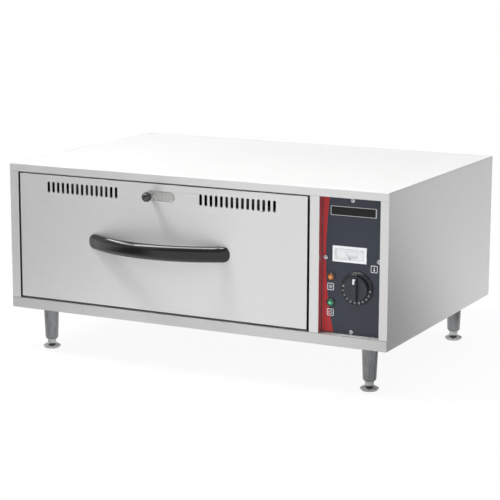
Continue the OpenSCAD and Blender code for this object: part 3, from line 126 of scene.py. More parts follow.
# %% A pale floor that fades to white far from the object
FLOOR_HALF = 30.0
NEAR, FAR = 0.9, 2.6      # metres from the middle, between which the floor turns white
NEAR_GLOW = 0.9           # how white it is already near the object
MIRRORED = 1.07           # how bright a mirror sees it, where the eye sees 1
CARD_CORE = 0.2           # the part of a patch, out from its middle, that is evenly dark
CARDS = {                 # soft grey patches: middle, half widths in metres, turn in degrees, and how dark
    "front_near": ((-1.0, -1.25), (0.65, 1.5), -27, 0.75),
    "front_far": ((-2.2, -4.0), (2.8, 3.0), -27, 0.8),
    "side_near": ((0.85, 0.65), (0.28, 1.6), -27, 0.85),
    "side_far": ((2.4, 3.4), (1.4, 2.8), -27, 0.9),
}
bpy.context.scene.view_settings.view_transform = "Standard"      # shows each colour as it is written


def seen_directly(tree):
    """1 for rays from the eye, from a mirror or through glass, and 0 for those that only bring light."""
    path = add(tree, "LightPath").outputs
    seen = path["Is Camera Ray"]
    for ray in ("Is Glossy Ray", "Is Transmission Ray"):
        seen = add(tree, "Math", {0: seen, 1: path[ray]}, operation="MAXIMUM").outputs[0]
    return seen


floor_mesh = bpy.data.meshes.new("floor")
floor_corners = [(x * FLOOR_HALF, y * FLOOR_HALF, 0) for x, y in ((-1, -1), (1, -1), (1, 1), (-1, 1))]
floor_mesh.from_pydata(floor_corners, [], [(0, 1, 2, 3)])
floor = bpy.data.objects.new("floor", floor_mesh)
bpy.context.scene.collection.objects.link(floor)
# Backdrop paper is matt and nearly white, so a soft shadow stays on it.
paper = bpy.data.materials.new("matt_paper")
paper.use_nodes = True
tree = paper.node_tree
tree.nodes.clear()
where = add(tree, "TexCoord").outputs["Object"]
reach = add(tree, "VectorMath", {0: where}, operation="LENGTH").outputs["Value"]
fade = add(tree, "MapRange", {"Value": reach, "From Min": NEAR, "From Max": FAR, "To Min": NEAR_GLOW},
           interpolation_type="SMOOTHSTEP").outputs[0]
white = add(tree, "Math", {0: fade, 1: seen_directly(tree)}, operation="MULTIPLY").outputs[0]
tone = MIRRORED
for middle, half, turn, depth in CARDS.values():
    onto = add(tree, "Mapping", {"Vector": where, "Location": (*middle, 0), "Rotation": (0, 0, radians(turn)),
                                 "Scale": (*half, 1)}, vector_type="TEXTURE")
    away = add(tree, "VectorMath", {0: onto.outputs[0]}, operation="LENGTH").outputs["Value"]
    card = add(tree, "MapRange", {"Value": away, "From Min": CARD_CORE, "From Max": 1.0, "To Min": 1 - depth},
               interpolation_type="SMOOTHSTEP").outputs[0]
    tone = add(tree, "Math", {0: tone, 1: card}, operation="MULTIPLY").outputs[0]
from_eye = add(tree, "LightPath").outputs["Is Camera Ray"]
tone = add(tree, "Mix", {0: from_eye, 2: tone, 3: 1.0}).outputs[0]
paint = add(tree, "VectorMath", {0: colour("#f4f4f3")[:3], "Scale": tone}, operation="SCALE").outputs[0]
lit = add(tree, "BsdfDiffuse", {"Color": paint})
glow = add(tree, "Emission", {"Color": colour("#ffffff"), "Strength": tone})
blend = add(tree, "MixShader", {"Fac": white, 1: lit.outputs[0], 2: glow.outputs[0]})
add(tree, "OutputMaterial", {"Surface": blend.outputs[0]})
floor_mesh.materials.append(paper)
print("the floor is white from", FAR, "m out")

# %% The world
BACKDROP_SIDE = (-0.75, 0.58, 0.32)     # where the white backdrop stands
SCREEN_SIDE = (0.42, 0.88, 0.22)        # where the grey screen stands
AMBIENT = 0.85                          # the room as light
ROOM, BACKDROP = 0.46, 0.8              # the room and its backdrop as a mirror sees them
SCREEN = 0.4                            # the share of them that the screen leaves


def facing(tree, side, start, full, low, high):
    """Softly from low to high as a ray's dot product with a side of the room goes from start to full."""
    way = add(tree, "TexCoord").outputs["Generated"]
    agree = add(tree, "VectorMath", {0: way, 1: side}, operation="DOT_PRODUCT").outputs["Value"]
    return add(tree, "MapRange", {"Value": agree, "From Min": start, "From Max": full, "To Min": low,
                                  "To Max": high}, interpolation_type="SMOOTHSTEP").outputs[0]


world = bpy.data.worlds.new("white_room")
bpy.context.scene.world = world
world.use_nodes = True
tree = world.node_tree
tree.nodes.clear()
ambient = add(tree, "Background", {"Color": colour("#ffffff"), "Strength": AMBIENT})
room = facing(tree, BACKDROP_SIDE, 0.3, 0.85, ROOM, BACKDROP)
screen = facing(tree, SCREEN_SIDE, 0.8, 0.97, 1.0, SCREEN)
room = add(tree, "Math", {0: room, 1: screen}, operation="MULTIPLY").outputs[0]
from_eye = add(tree, "LightPath").outputs["Is Camera Ray"]
shown = add(tree, "Math", {0: room, 1: from_eye}, operation="MAXIMUM").outputs[0]
surround = add(tree, "Background", {"Color": colour("#ffffff"), "Strength": shown})
blend = add(tree, "MixShader", {"Fac": seen_directly(tree), 1: ambient.outputs[0], 2: surround.outputs[0]})
add(tree, "OutputWorld", {"Surface": blend.outputs[0]})
print("a mirror sees the room at", ROOM, "and the backdrop at", BACKDROP)

# %% The lamps
LAMPS = {  # name: place and aim in metres, width and height in metres, power in watts
    "key": ((-2.2, -2.4, 2.6), (0, 0, 0.2), (2.6, 2.6), 8),
    "fill": ((2.6, -1.6, 1.5), (0, 0, 0.2), (2.0, 2.0), 6),
    "back": ((0.6, 1.6, 2.6), (0.3, 0.3, 0), (2.4, 2.4), 6),
    "strip_near": ((-0.45, -0.64, 1.8), (-0.45, -0.34, 0.2), (1.7, 0.2), 13),
    "strip_far": ((-2.5, 0.24, 1.8), (-1.8, 1.08, 0.2), (3.4, 0.14), 16),
}
for name, (spot, aim, size, power) in LAMPS.items():
    lamp = bpy.data.objects.new(name, bpy.data.lights.new(name, "AREA"))
    lamp.data.shape, lamp.data.energy = "RECTANGLE", power
    lamp.data.size, lamp.data.size_y = size
    lamp.location = spot
    lamp.rotation_mode = "QUATERNION"
    lamp.rotation_quaternion = (Vector(aim) - Vector(spot)).to_track_quat("-Z", "Y")
    bpy.context.scene.collection.objects.link(lamp)
print(len(LAMPS), "lamps,", sum(lamp[-1] for lamp in LAMPS.values()), "watts together")

# %% [markdown]
# ## Patterns
# No sheet or moulding is one flat colour: rolling, brushing and moulding leave marks. All the
# finishes here share one idea, a noise of a real size in millimetres, drawn out along the grain,
# which moves the colour and the roughness a little and dents the surface by hundredths of one. Where
# the real marks are finer than a pixel of the picture, which is over a millimetre, they are drawn as
# coarse as they need to be to show.

# %% A noise of a real size, and what it drives
NOISE = (0.3, 0.7)        # the range that the noise mostly keeps to


def wander(tree, size, stretch=(1, 1, 1)):
    """Noise whose patches are size millimetres across, and longer along a stretch."""
    where = add(tree, "TexCoord").outputs["Object"]
    scale = tuple(1000 / (size * s) for s in stretch)
    counted = add(tree, "Mapping", {"Vector": where, "Scale": scale}).outputs["Vector"]
    return add(tree, "TexNoise", {"Vector": counted, "Scale": 1.0, "Detail": 3.0}).outputs["Fac"]


def dress(tree, noise, dark, light, rough, depth):
    """Wires a noise to the shader: dark to light, smooth to rough, and dents of a depth in millimetres."""
    shader = tree.nodes["Principled BSDF"]
    share, roughness = [add(tree, "MapRange", {"Value": noise, "From Min": NOISE[0], "From Max": NOISE[1],
                                               "To Min": low, "To Max": high}).outputs["Result"]
                        for low, high in ((0, 1), rough)]
    tint = add(tree, "Mix", {0: share, 6: colour(dark), 7: colour(light)}, data_type="RGBA")
    tree.links.new(tint.outputs[2], shader.inputs["Base Color"])
    tree.links.new(roughness, shader.inputs["Roughness"])
    if depth:
        dents = add(tree, "Bump", {"Height": noise, "Distance": depth / 1000, "Strength": 1.0})
        tree.links.new(dents.outputs[0], shader.inputs["Normal"])


def begin(name, numbers):
    """A new material with these numbers on its shader's own sockets, and its tree of nodes."""
    material = bpy.data.materials.new(name)
    material.use_nodes = True
    for socket, value in numbers.items():
        material.node_tree.nodes["Principled BSDF"].inputs[socket].default_value = value
    return material, material.node_tree


def finish(name, dark, light, rough, size, stretch=(1, 1, 1), depth=0.0, **numbers):
    """A material whose colour, roughness and dents all follow one noise."""
    material, tree = begin(name, {key.replace("_", " "): value for key, value in numbers.items()})
    dress(tree, wander(tree, size, stretch), dark, light, rough, depth)
    return material


print("a pattern of 2 mm has", 1000 / 2, "patches in a metre")

# %% [markdown]
# ## Steel
# The cabinet is stainless sheet, brushed with a belt: fine level scratches on the front and sides,
# lying from left to right on top. The scratches spread a reflection upwards and downwards, which
# anisotropy does. Belt scratches are a tenth of a millimetre wide; they are drawn nine times coarser
# and very faint.

# %% Brushed stainless, with a grain that turns with the face
GRAIN = 0.9               # millimetres across a scratch
GRAIN_RUN = 90            # length of a scratch, in widths
SMEAR = 0.98              # how much more a reflection spreads across the scratches than along them
LYING = 0.7               # the upward part of a normal above which a face counts as flat
BRUSH_ROUGH, BRUSH_DEPTH = (0.37, 0.39), 0.0002


def brushed(name, dark, light):
    """Scratches level on upright faces, from left to right on flat ones, and the tangent across them."""
    material, tree = begin(name, {"Metallic": 1.0, "Anisotropic": SMEAR})
    upright = wander(tree, GRAIN, (GRAIN_RUN, GRAIN_RUN, 1))
    flat = wander(tree, GRAIN, (GRAIN_RUN, 1, 1))
    normal = add(tree, "SeparateXYZ", {0: add(tree, "TexCoord").outputs["Normal"]}).outputs["Z"]
    steep = add(tree, "Math", {0: normal}, operation="ABSOLUTE").outputs[0]
    lying = add(tree, "Math", {0: steep, 1: LYING}, operation="GREATER_THAN").outputs[0]
    noise = add(tree, "Mix", {0: lying, 2: upright, 3: flat}).outputs[0]
    dress(tree, noise, dark, light, BRUSH_ROUGH, BRUSH_DEPTH)
    across = add(tree, "Mix", {0: lying, 4: (0, 0, 1), 5: (0, 1, 0)}, data_type="VECTOR")
    tree.links.new(across.outputs[1], tree.nodes["Principled BSDF"].inputs["Tangent"])
    return material


brushed_steel = brushed("brushed_stainless_steel", "#e8e8e8", "#ededec")
# The bottom rail's steel is painted a little darker than the rest: painted shade for the darker floor it
# reflects close under the cabinet.
base_steel = brushed("brushed_base_sheet_painted_shade", "#d6d6d6", "#dbdbda")
print("scratches are", GRAIN, "mm wide and", GRAIN * GRAIN_RUN, "mm long")

# %% Other metals
# Inner sheet comes straight from the cold rolls: satin, with faint streaks from side to side.
rolled_steel = finish("rolled_stainless_steel", "#aaacad", "#b4b6b7", (0.3, 0.34), 1.2, (60, 1, 1), 0.0006,
                      Metallic=1.0)
# The shutter is painted dark grey: painted shade for the deep slots it shows through. Its patches are longer
# than they are high.
mill_steel = finish("dark_shutter_steel_painted_shade", "#56575a", "#6c6d70", (0.4, 0.55), 3.0, (20, 1, 1), 0.004,
                    Metallic=1.0)
# Pans are pressed and then rubbed down: an even, soft sheen.
pressed_steel = finish("satin_pressed_steel", "#bdbebf", "#c6c7c7", (0.26, 0.3), 0.9, (1, 1, 8), 0.0006,
                       Metallic=1.0)
# Leg tube is brushed lengthwise, darker than the sheet, with a narrow streak of light.
leg_tube = finish("brushed_steel_tube", "#707173", "#8c8d8e", (0.24, 0.32), 3.0, (1, 1, 6), 0.001,
                  Metallic=1.0)
# A dipped zinc coat sets in grey patches, some smoother than others.
zinc = finish("zinc_coated_steel", "#858a8d", "#aeb2b4", (0.36, 0.55), 9.0, (1, 1, 1), 0.006, Metallic=1.0)
# Zinc plated on screws is thin and bright, with sharp glints.
zinc_plate = finish("bright_zinc_plate", "#b6b8ba", "#cfd1d3", (0.16, 0.26), 2.0, Metallic=1.0)
# Acid takes the scale off unevenly: the speckle of dark and pale that shows behind the long slot.
pickled_steel = finish("pickled_steel", "#3c3c3e", "#ededeb", (0.45, 0.55), 1.8, depth=0.004, Metallic=0.3)
# Chrome makes the feet clear mirrors, darker than steel.
chrome = finish("bright_chrome_plate", "#9fa0a1", "#b4b5b6", (0.08, 0.14), 6.0, Metallic=1.0)
# Black nickel turns the ball into a dark mirror with small bright lights.
black_nickel = finish("black_nickel_plate", "#4e4e51", "#5c5c5f", (0.06, 0.1), 5.0, Metallic=1.0)
# Dark chrome gives the lamps' bezels a thin grey glint.
dark_chrome = finish("dark_chrome_plate", "#3c3c3f", "#4c4c50", (0.12, 0.2), 3.0, Metallic=1.0)
# A heater's sheath is baked brown and black by its own heat, and dull.
sheath = finish("oxidised_heater_sheath", "#2b2a29", "#4a4640", (0.4, 0.6), 2.2, depth=0.01, Metallic=0.7)
# Drawn copper tube is warm and bright, with faint lines along the draw.
copper = finish("drawn_copper", "#a55f3d", "#c98a62", (0.22, 0.34), 1.2, (12, 12, 1), Metallic=1.0)
print(len(bpy.data.materials), "materials so far")

# %% [markdown]
# ## Plastics, rubber, glass, ink and wool
# Moulded parts are smooth with a faint orange peel; phenolic is the hardest and glossiest. Films and
# inks are thin and even. Wool is a mat of fibres, so its noise is long one way and its face rough.

# %% Mouldings and film
# Phenolic is pressed in a polished mould: almost black, with sharp bright lines.
phenolic = finish("moulded_black_phenolic", "#030304", "#070708", (0.08, 0.12), 7.0, depth=0.003, IOR=1.52)
# The dial ring and the knob are a bluish black, satin, so the white numbers stand out.
ring_plastic = finish("moulded_blue_black_plastic", "#14161b", "#1a1c22", (0.3, 0.36), 2.0, depth=0.003,
                      IOR=1.5)
# The knob is painted lighter than the ring: painted sheen for the light that its flat face reflects.
knob_plastic = finish("moulded_black_plastic_painted_sheen", "#23262e", "#2c2f38", (0.3, 0.36), 2.0, depth=0.003,
                      IOR=1.5)
# Turned nylon is milky and dull, with fine rings from the tool.
nylon = finish("turned_nylon", "#d9d6c9", "#e6e3d8", (0.4, 0.5), 2.0, (6, 1, 1), 0.004, IOR=1.53)
# The cord gland is moulded with a fine texture that hides finger marks.
black_nylon = finish("moulded_black_nylon", "#161617", "#202022", (0.42, 0.52), 1.2, depth=0.01, IOR=1.53)
# Silicone stands the heat: soft black, with no sharp light on it.
rubber = finish("moulded_silicone_rubber", "#1a1a1a", "#262626", (0.6, 0.72), 1.5, depth=0.01, IOR=1.41)
# The thermometer's case is a cool white with a soft shine.
white_abs = finish("moulded_white_abs", "#e8eaee", "#f1f2f5", (0.28, 0.36), 3.0, depth=0.003, IOR=1.54)
# The panel's film is printed on its back: slate blue under a satin skin.
film = finish("printed_polyester_film", "#252b38", "#2c323f", (0.34, 0.42), 1.0, depth=0.003, IOR=1.5)
# Anodising leaves the nameplate black, with the grain of the sheet just showing.
plate_black = finish("black_anodised_plate", "#060607", "#0d0e10", (0.3, 0.38), 1.0, (12, 1, 1), 0.002,
                     IOR=1.4)
# A thin acrylic lens bends light too little to matter, so most of it is simply see-through.
clear = finish("clear_acrylic", "#fbfcfc", "#ffffff", (0.02, 0.05), 4.0, IOR=1.49, Alpha=0.22)
print(len(bpy.data.materials), "materials so far")

# %% Paints, inks, sleeve and wool
# Paint and screen ink dry matt and even; only the red band keeps some shine.
dial_paint = finish("painted_dial", "#e6e8ec", "#eef0f3", (0.5, 0.58), 2.0)
needle_paint = finish("grey_lacquer", "#6b6e74", "#7c7f85", (0.4, 0.5), 2.0)
white_ink = finish("white_screen_ink", "#d6d8dc", "#e6e8ec", (0.5, 0.6), 1.0)
grey_ink = finish("pale_grey_ink", "#b4b6ba", "#c6c8cc", (0.45, 0.55), 1.0)
scale_ink = finish("mid_grey_ink", "#888b92", "#9b9ea4", (0.5, 0.6), 1.0)
red_ink = finish("red_screen_ink", "#a82028", "#b6272b", (0.36, 0.44), 2.0, IOR=1.45)
# Braided glass yarn round the wires is off-white, coarse and quite dull.
sleeve = finish("braided_glass_sleeve", "#9c948a", "#c9c1b4", (0.6, 0.75), 0.7, depth=0.04)
# Bonded mineral wool is straw yellow and wholly matt, its fibres lying mostly one way.
wool = finish("pressed_mineral_wool", "#b79a52", "#d9c389", (0.9, 1.0), 1.4, (6, 3, 1), 0.6)
print(len(bpy.data.materials), "materials in all")

# %% [markdown]
# ## The parts whose shape is already right
# Most of the frame stays as it is: hidden sheet, clips, rollers and pins only need their finish.

# %% A finish for every part of the frame
FINISHED = {
    brushed_steel: "top_panel left_side_panel right_side_panel mullion drawer_skin",
    base_steel: "base_pan",
    rolled_steel: "cavity_liner cavity_floor_and_rear drawer_inner_panel back_panel",
    mill_steel: "vent_shutter",
    pickled_steel: "vent_slide_plate",
    pressed_steel: "pan_frame food_pan element_and_probe_clips",
    zinc: "panel_mount_frame compartment_divider control_panel cabinet_rails rail_tracks rail_keepers "
          "drawer_box drawer_tracks shutter_guides leg_plates",
    zinc_plate: "back_panel_screws panel_screws handle_screws rail_stop_pins front_roller_pins "
                "rear_roller_pins thermostat_shaft vent_stem",
    leg_tube: "legs",
    chrome: "foot_front_left foot_front_right foot_rear_left foot_rear_right",
    black_nickel: "vent_knob",
    dark_chrome: "lamp_holders",
    sheath: "heating_element",
    copper: "thermometer_probe thermostat_probe",
    phenolic: "handle thermostat_knob thermostat_body",
    ring_plastic: "dial_ring",
    nylon: "front_roller_left front_roller_right rear_roller_left rear_roller_right terminal_block",
    black_nylon: "cord_gland",
    rubber: "rear_bumpers",
    white_abs: "thermometer_case",
    film: "panel_overlay",
    plate_black: "blank_nameplate",
    dial_paint: "thermometer_dial",
    needle_paint: "thermometer_needle",
    sleeve: "wiring",
    wool: "insulation_wrap insulation_boards drawer_insulation",
    clear: "thermometer_lens amber_lens green_lens",
}
for material, names in FINISHED.items():
    for name in names.split():
        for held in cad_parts[name].material_slots:
            held.material = material
plain = set(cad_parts) - {name for names in FINISHED.values() for name in names.split()}
print("parts without a finish:", sorted(plain) or "none")

# %% [markdown]
# ## How a surface becomes a piece
# A shape is a grid of points: one number walks along it and the other around it. Each cell of the
# grid is a face with four corners. Where rows meet in one point, the doubles are merged, so the
# shell is closed, and then its faces are turned outwards.

# %% From grids to a piece that rides on its body
SAME = 1e-6               # points closer than this, in metres, are one


def surface(points, looped=False):
    """Four-cornered faces over a grid of closed rows; looped joins the last row to the first as well."""
    rows, columns = points.shape[:2]
    row, column = np.meshgrid(np.arange(rows - (not looped)), np.arange(columns), indexing="ij")

    def corner(r, c):
        return (r % rows) * columns + c % columns

    faces = np.stack([corner(row, column), corner(row, column + 1),
                      corner(row + 1, column + 1), corner(row + 1, column)], -1)
    return points.reshape(-1, 3), faces.reshape(-1, 4)


def show(name, mesh, material, body, stands_for, crease):
    """Shades a mesh smooth except over sharp creases, gives it its material and lets it ride on a body."""
    mesh.shade_smooth()
    mesh.set_sharp_from_angle(angle=radians(crease))
    mesh.materials.clear()
    mesh.materials.append(material)
    made = bpy.data.objects.new(name, mesh)
    bpy.context.scene.collection.objects.link(made)
    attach(made, body)
    if stands_for:
        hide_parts(*stands_for)
    print(name, "has", len(mesh.polygons), "faces")
    return made


def build(name, grids, material, body, stands_for=(), crease=40):
    """One piece from several surfaces in millimetres: doubles merged, faces turned outwards."""
    counts = np.cumsum([0] + [len(points) for points, _ in grids[:-1]])
    points = place(np.vstack([points for points, _ in grids]))
    faces = np.vstack([faces + start for (_, faces), start in zip(grids, counts)])
    mesh = bpy.data.meshes.new(name)
    mesh.from_pydata(points.tolist(), [], faces.tolist())
    work = bmesh.new()
    work.from_mesh(mesh)
    bmesh.ops.remove_doubles(work, verts=work.verts, dist=SAME)
    bmesh.ops.dissolve_degenerate(work, edges=work.edges, dist=SAME / 10)
    bmesh.ops.recalc_face_normals(work, faces=work.faces)
    work.to_mesh(mesh)
    work.free()
    return show(name, mesh, material, body, stands_for, crease)


print("a grid of 3 rows of 4 points gives", len(surface(np.zeros((3, 4, 3)))[1]), "faces")

# %% [markdown]
# ## Folded sheet
# A press brake can't fold a sharp corner: each fold has a small radius, and it is that radius which
# catches a bright line of light along the edges. A merged copy of each sheet, with its flat faces
# joined, gives the Bevel modifier true edges to round. An edge that lies on two sides of the box
# round all the sheets is one of the cabinet's own corners and gets a wide fold. On one side it is the
# edge of an opening, elsewhere the cut edge of a sheet. Where two sheets meet, the seam is welded and
# ground flat, so it gets none.

# %% Sheets with their folds rounded
FOLD, OPENING_FOLD, CUT_EDGE = 1.0, 0.6, 0.25      # millimetres
SHARP = 35                                         # degrees between two faces from which an edge is folded
FLAT = 0.5                                         # degrees; faces closer than this to one plane are joined
SEAM = 0.4                                         # sheets closer than this, in millimetres, are welded


def folded(nodes, body, other_steel=()):
    """Copies of sheets with bevelled edges, in brushed steel unless other_steel names one for a sheet."""
    meshes, trees = {}, {}
    for node in nodes:
        work = bmesh.new()
        work.from_mesh(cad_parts[node].data)
        bmesh.ops.remove_doubles(work, verts=work.verts, dist=SAME)
        bmesh.ops.dissolve_limit(work, angle_limit=radians(FLAT), verts=work.verts, edges=work.edges)
        meshes[node], trees[node] = work, BVHTree.FromBMesh(work)
    low = np.min([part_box(node)[0] for node in nodes], 0)
    high = np.max([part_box(node)[1] for node in nodes], 0)
    for node, work in meshes.items():
        weights = work.edges.layers.float.new("bevel_weight_edge")
        for edge in work.edges:
            if edge.calc_face_angle(0.0) < radians(SHARP):
                continue
            ends = np.array([corner.co for corner in edge.verts])
            sides = (np.abs(np.hstack([ends - low, ends - high])) < SAME * 10).all(0).sum()
            middle = Vector(ends.mean(0))
            seam = any(trees[other].find_nearest(middle, SEAM / 1000)[0] for other in nodes if other != node)
            edge[weights] = 0 if seam else (CUT_EDGE, OPENING_FOLD, FOLD)[min(sides, 2)] / FOLD
        mesh = bpy.data.meshes.new(node + "_folded")
        work.to_mesh(mesh)
        work.free()
        if "custom_normal" in mesh.attributes:      # normals kept from the frame would fight the bevel's
            mesh.attributes.remove(mesh.attributes["custom_normal"])
        steel = dict(other_steel).get(node, brushed_steel)
        made = show(node + "_folded", mesh, steel, body, [node], SHARP)
        bevel = made.modifiers.new("folds", "BEVEL")
        bevel.limit_method, bevel.width, bevel.segments = "WEIGHT", FOLD / 1000, 2
        bevel.harden_normals, bevel.use_clamp_overlap = True, False


folded(["top_panel", "left_side_panel", "right_side_panel", "base_pan", "mullion"], "cabinet",
       {"base_pan": base_steel})
folded(["drawer_skin"], "drawer")

# %% [markdown]
# ## Handle
# The handle is moulded phenolic, bowed like a cupboard pull. Each upright slice has a flat front with
# a sloping edge above and below, softly rounded where they meet; that upper corner carries the bright
# line. The slices get lower towards the rounded ends, and are cut off flat where the bow meets the
# drawer. So one function of place along and turn around draws all of it.

# %% The bow handle, slice by slice
GRIP_L, GRIP_H, GRIP_T = 281, 27, 11
GRIP_MIDDLE = (307, 136)
GRIP_ARC_R = 237.6
GRIP_END_R, GRIP_SLOPE = 12.96, 5.8
GRIP_SOFT = 3.0           # how far a rounded corner reaches along its sides
SLOPE_SHARE = 0.6         # the most of a slice that the slope takes up
SOFT_SHARE = 0.76         # the most of a slope that the rounding takes up
CORNER_SHARES = [0.2, 0.5, 1, 1, 0.5, 0.2]         # of that, for each corner from the back round the front


def softened(corners, radius, steps=5, looped=False):
    """Rounds each corner with a curve that starts and ends a radius away from it on its two lines."""
    p = np.asarray(corners, float)
    r = np.broadcast_to(radius, p.shape[:-1])[..., None]
    last, following = np.roll(p, 1, -2), np.roll(p, -1, -2)
    if not looped:
        last[..., 0, :], following[..., -1, :] = p[..., 0, :], p[..., -1, :]

    def toward(other):
        v = other - p
        return p + r * v / np.maximum(np.linalg.norm(v, axis=-1, keepdims=True), 1e-9)

    t = np.linspace(0, 1, steps)[:, None]
    start, end = toward(last)[..., None, :], toward(following)[..., None, :]
    bent = (1 - t) ** 2 * start + 2 * t * (1 - t) * p[..., None, :] + t ** 2 * end
    return bent.reshape(*p.shape[:-2], -1, 2)


along = GRIP_L / 2 * np.sin(np.linspace(-tau / 4, tau / 4, 141))
arc_y = sqrt(GRIP_ARC_R ** 2 - (GRIP_L / 2) ** 2)
front_y = arc_y - np.sqrt(GRIP_ARC_R ** 2 - along ** 2)
rear_y = np.minimum(arc_y - np.sqrt((GRIP_ARC_R - GRIP_T) ** 2 - along ** 2), 0)
past = np.clip(np.abs(along) - (GRIP_L / 2 - GRIP_END_R), 0, GRIP_END_R)
half_h = GRIP_H / 2 - GRIP_END_R + np.sqrt(GRIP_END_R ** 2 - past ** 2)
depth = rear_y - front_y
slope = np.minimum(np.minimum(depth, half_h) * SLOPE_SHARE, GRIP_SLOPE)
outline = np.array([[1, -1, 0, 0], [0, -1, 1, 0], [0, -1, 0, 1],      # each corner: depth, height, and how
                    [0, 1, 0, -1], [0, 1, -1, 0], [1, 1, 0, 0]])      # far the slope moves it back and up
outline_y = outline[:, 0] * depth[:, None] + np.abs(outline[:, 2]) * slope[:, None]
outline_z = outline[:, 1] * half_h[:, None] + outline[:, 3] * slope[:, None]
soft = np.minimum(slope * SOFT_SHARE, GRIP_SOFT)[:, None] * CORNER_SHARES
section = softened(np.stack([outline_y, outline_z], -1), soft, 6, looped=True)
bow = np.stack([GRIP_MIDDLE[0] + along[:, None] + 0 * section[..., 0],
                front_y[:, None] + section[..., 0], GRIP_MIDDLE[1] + section[..., 1]], -1)
build("bow_handle", [surface(bow)], phenolic, "drawer", ["handle"])

# %% [markdown]
# ## Turned parts
# Knobs, lenses, legs and feet are made on a lathe, or in a mould that was. Their shape is a line of
# radius against height, carried round an axis.

# %% A line carried round an axis


def turned(profile, middle, axis="z", steps=64):
    """A line of radius and height carried round an axis: radius times the cosine and sine of the turn."""
    r, h = np.asarray(profile, float).T[:, :, None]
    angle = np.linspace(0, tau, steps, endpoint=False)
    a, b, h = r * np.cos(angle), r * np.sin(angle), h + 0 * angle
    return surface(np.stack([a, b, h] if axis == "z" else [a, h, b], -1) + np.asarray(middle, float))


BALL_R, BALL_MIDDLE = 8.7, (293.5, -15, 226.3)
swing = np.linspace(0, tau / 2, 33)
ball = np.stack([BALL_R * np.sin(swing), BALL_R * np.cos(swing)], -1)
build("vent_ball", [turned(ball, BALL_MIDDLE, "y")], black_nickel, "vent_slider", ["vent_knob"])

# %% Four tapered legs and their screw feet
LEGS = {"front_left": (50.5, 50), "rear_left": (50.5, 452),
        "front_right": (686.5, 50), "rear_right": (686.5, 452)}
leg = softened([(0, 1.0), (14.2, 1.0), (11.7, -61.8), (10.2, -64.8), (8.0, -64.8), (8.0, -50), (0, -50)],
               [0, 0, 1.2, 0.8, 0.3, 0, 0])
build("leg_tubes", [turned(leg, (x, y, 0)) for x, y in LEGS.values()], leg_tube, "cabinet", ["legs"])

PAD_R, DOME_H, DOME_TOP = 16, 5.4, -71.8           # the pad, and the dome on it whose top is cut by the stud
dome_r = (PAD_R ** 2 + DOME_H ** 2) / (2 * DOME_H)
dome = [(r, DOME_TOP - dome_r + sqrt(dome_r ** 2 - r ** 2)) for r in np.linspace(15.4, 8.8, 8)]
foot = np.vstack([softened([(0, -82), (13.5, -82), (PAD_R, -78.8), (PAD_R, -77.2)], [0, 0.8, 0.8, 0.3]), dome,
                  softened([(7.9, -72.7), (7.9, -29.2), (0, -29.2)], [0.5, 0.6, 0])])
for name in sorted(LEGS):
    build(name + "_screw_foot", [turned(foot, (*LEGS[name], 0))], chrome, name + "_foot", ["foot_" + name])

# %% [markdown]
# ## Thermostat knob
# The knob is a disc with a ridge across it for the fingers. Each slice across the disc is one closed
# line: over the front, where the ridge stands up softly, and back along the flat underside.

# %% A soft step from 0 to 1


def smooth_step(x):
    """0 below 0, 1 above 1, and a soft S between, which is three squares less two cubes."""
    x = np.clip(x, 0, 1)
    return x * x * (3 - 2 * x)


print("halfway up, a soft step is at", smooth_step(0.5))

# %% The knob as slices across a disc
DIAL = np.array([677.55, 99.0])
KNOB_R, KNOB_BACK, KNOB_FACE, RIDGE_TOP, RIM_R = 21, 9.1, 3.6, -2.4, 1.5
RIDGE_HALF, RIDGE_SIDE, RIDGE_SHORT = 5, 1.6, 0.6      # half its width, its slope, and how short of the rim
fine = np.linspace(RIDGE_HALF - RIDGE_SIDE, RIDGE_HALF, 7)
even = KNOB_R * np.sin(np.linspace(-tau / 4, tau / 4, 61))
across = np.unique(np.concatenate([even, fine, -fine]).round(4))
reach = np.sin(np.linspace(-tau / 4, tau / 4, 49))
up = np.sqrt(np.maximum(KNOB_R ** 2 - across ** 2, 0))[:, None] * reach
out = np.hypot(across[:, None], up)
rim = np.clip(out - (KNOB_R - RIM_R), 0, RIM_R)
face = KNOB_FACE + RIM_R - np.sqrt(RIM_R ** 2 - rim ** 2)
ridge = smooth_step((RIDGE_HALF - np.abs(across[:, None])) / RIDGE_SIDE)
ridge = ridge * smooth_step((KNOB_R - RIDGE_SHORT - out) / RIDGE_SIDE)
face = face + (RIDGE_TOP - KNOB_FACE) * ridge
slices = np.concatenate([np.stack([across[:, None] + 0 * up, face, up], -1),
                         np.stack([across[:, None] + 0 * up, KNOB_BACK + 0 * up, up[:, ::-1]], -1)], 1)
build("dial_knob", [surface(slices + [DIAL[0], 0, DIAL[1]])], knob_plastic, "thermostat_dial",
      ["thermostat_knob"])

# %% [markdown]
# ## Printing
# Ink stands a few hundredths of a millimetre proud of what it is printed on. Each mark is a thin
# closed shape: a hoop between two outlines, a ribbon along a line, or a tile filling an outline.

# %% Hoops, ribbons and tiles
INK = 0.05                # thickness in millimetres, thicker than real ink so that it stays clear


def rounded_box(half_w, half_h, radius, steps=6):
    """Points round rectangles: at each corner a quarter circle about a point set in by its radius."""
    quarter = np.repeat(np.arange(4), steps)
    angle = (quarter + np.tile(np.linspace(0, 1, steps), 4)) * tau / 4
    side = np.array([[1, 1], [-1, 1], [-1, -1], [1, -1]])[quarter]
    half = np.stack(np.broadcast_arrays(half_w, half_h), -1)[..., None, :]
    r = np.broadcast_to(radius, (*half.shape[:-2], 4))[..., quarter, None]
    return side * (half - r) + r * np.stack([np.cos(angle), np.sin(angle)], -1)


def standing(outline, y):
    """An outline in x and z, stood upright at a depth y."""
    return np.stack([outline[..., 0], y + 0 * outline[..., 0], outline[..., 1]], -1)


def capped(rows):
    """A tube of rows, closed by the middle of its first and of its last row."""
    ends = rows[[0, -1]].mean(1, keepdims=True).repeat(rows.shape[1], 1)
    return surface(np.concatenate([ends[:1], rows, ends[1:]]))


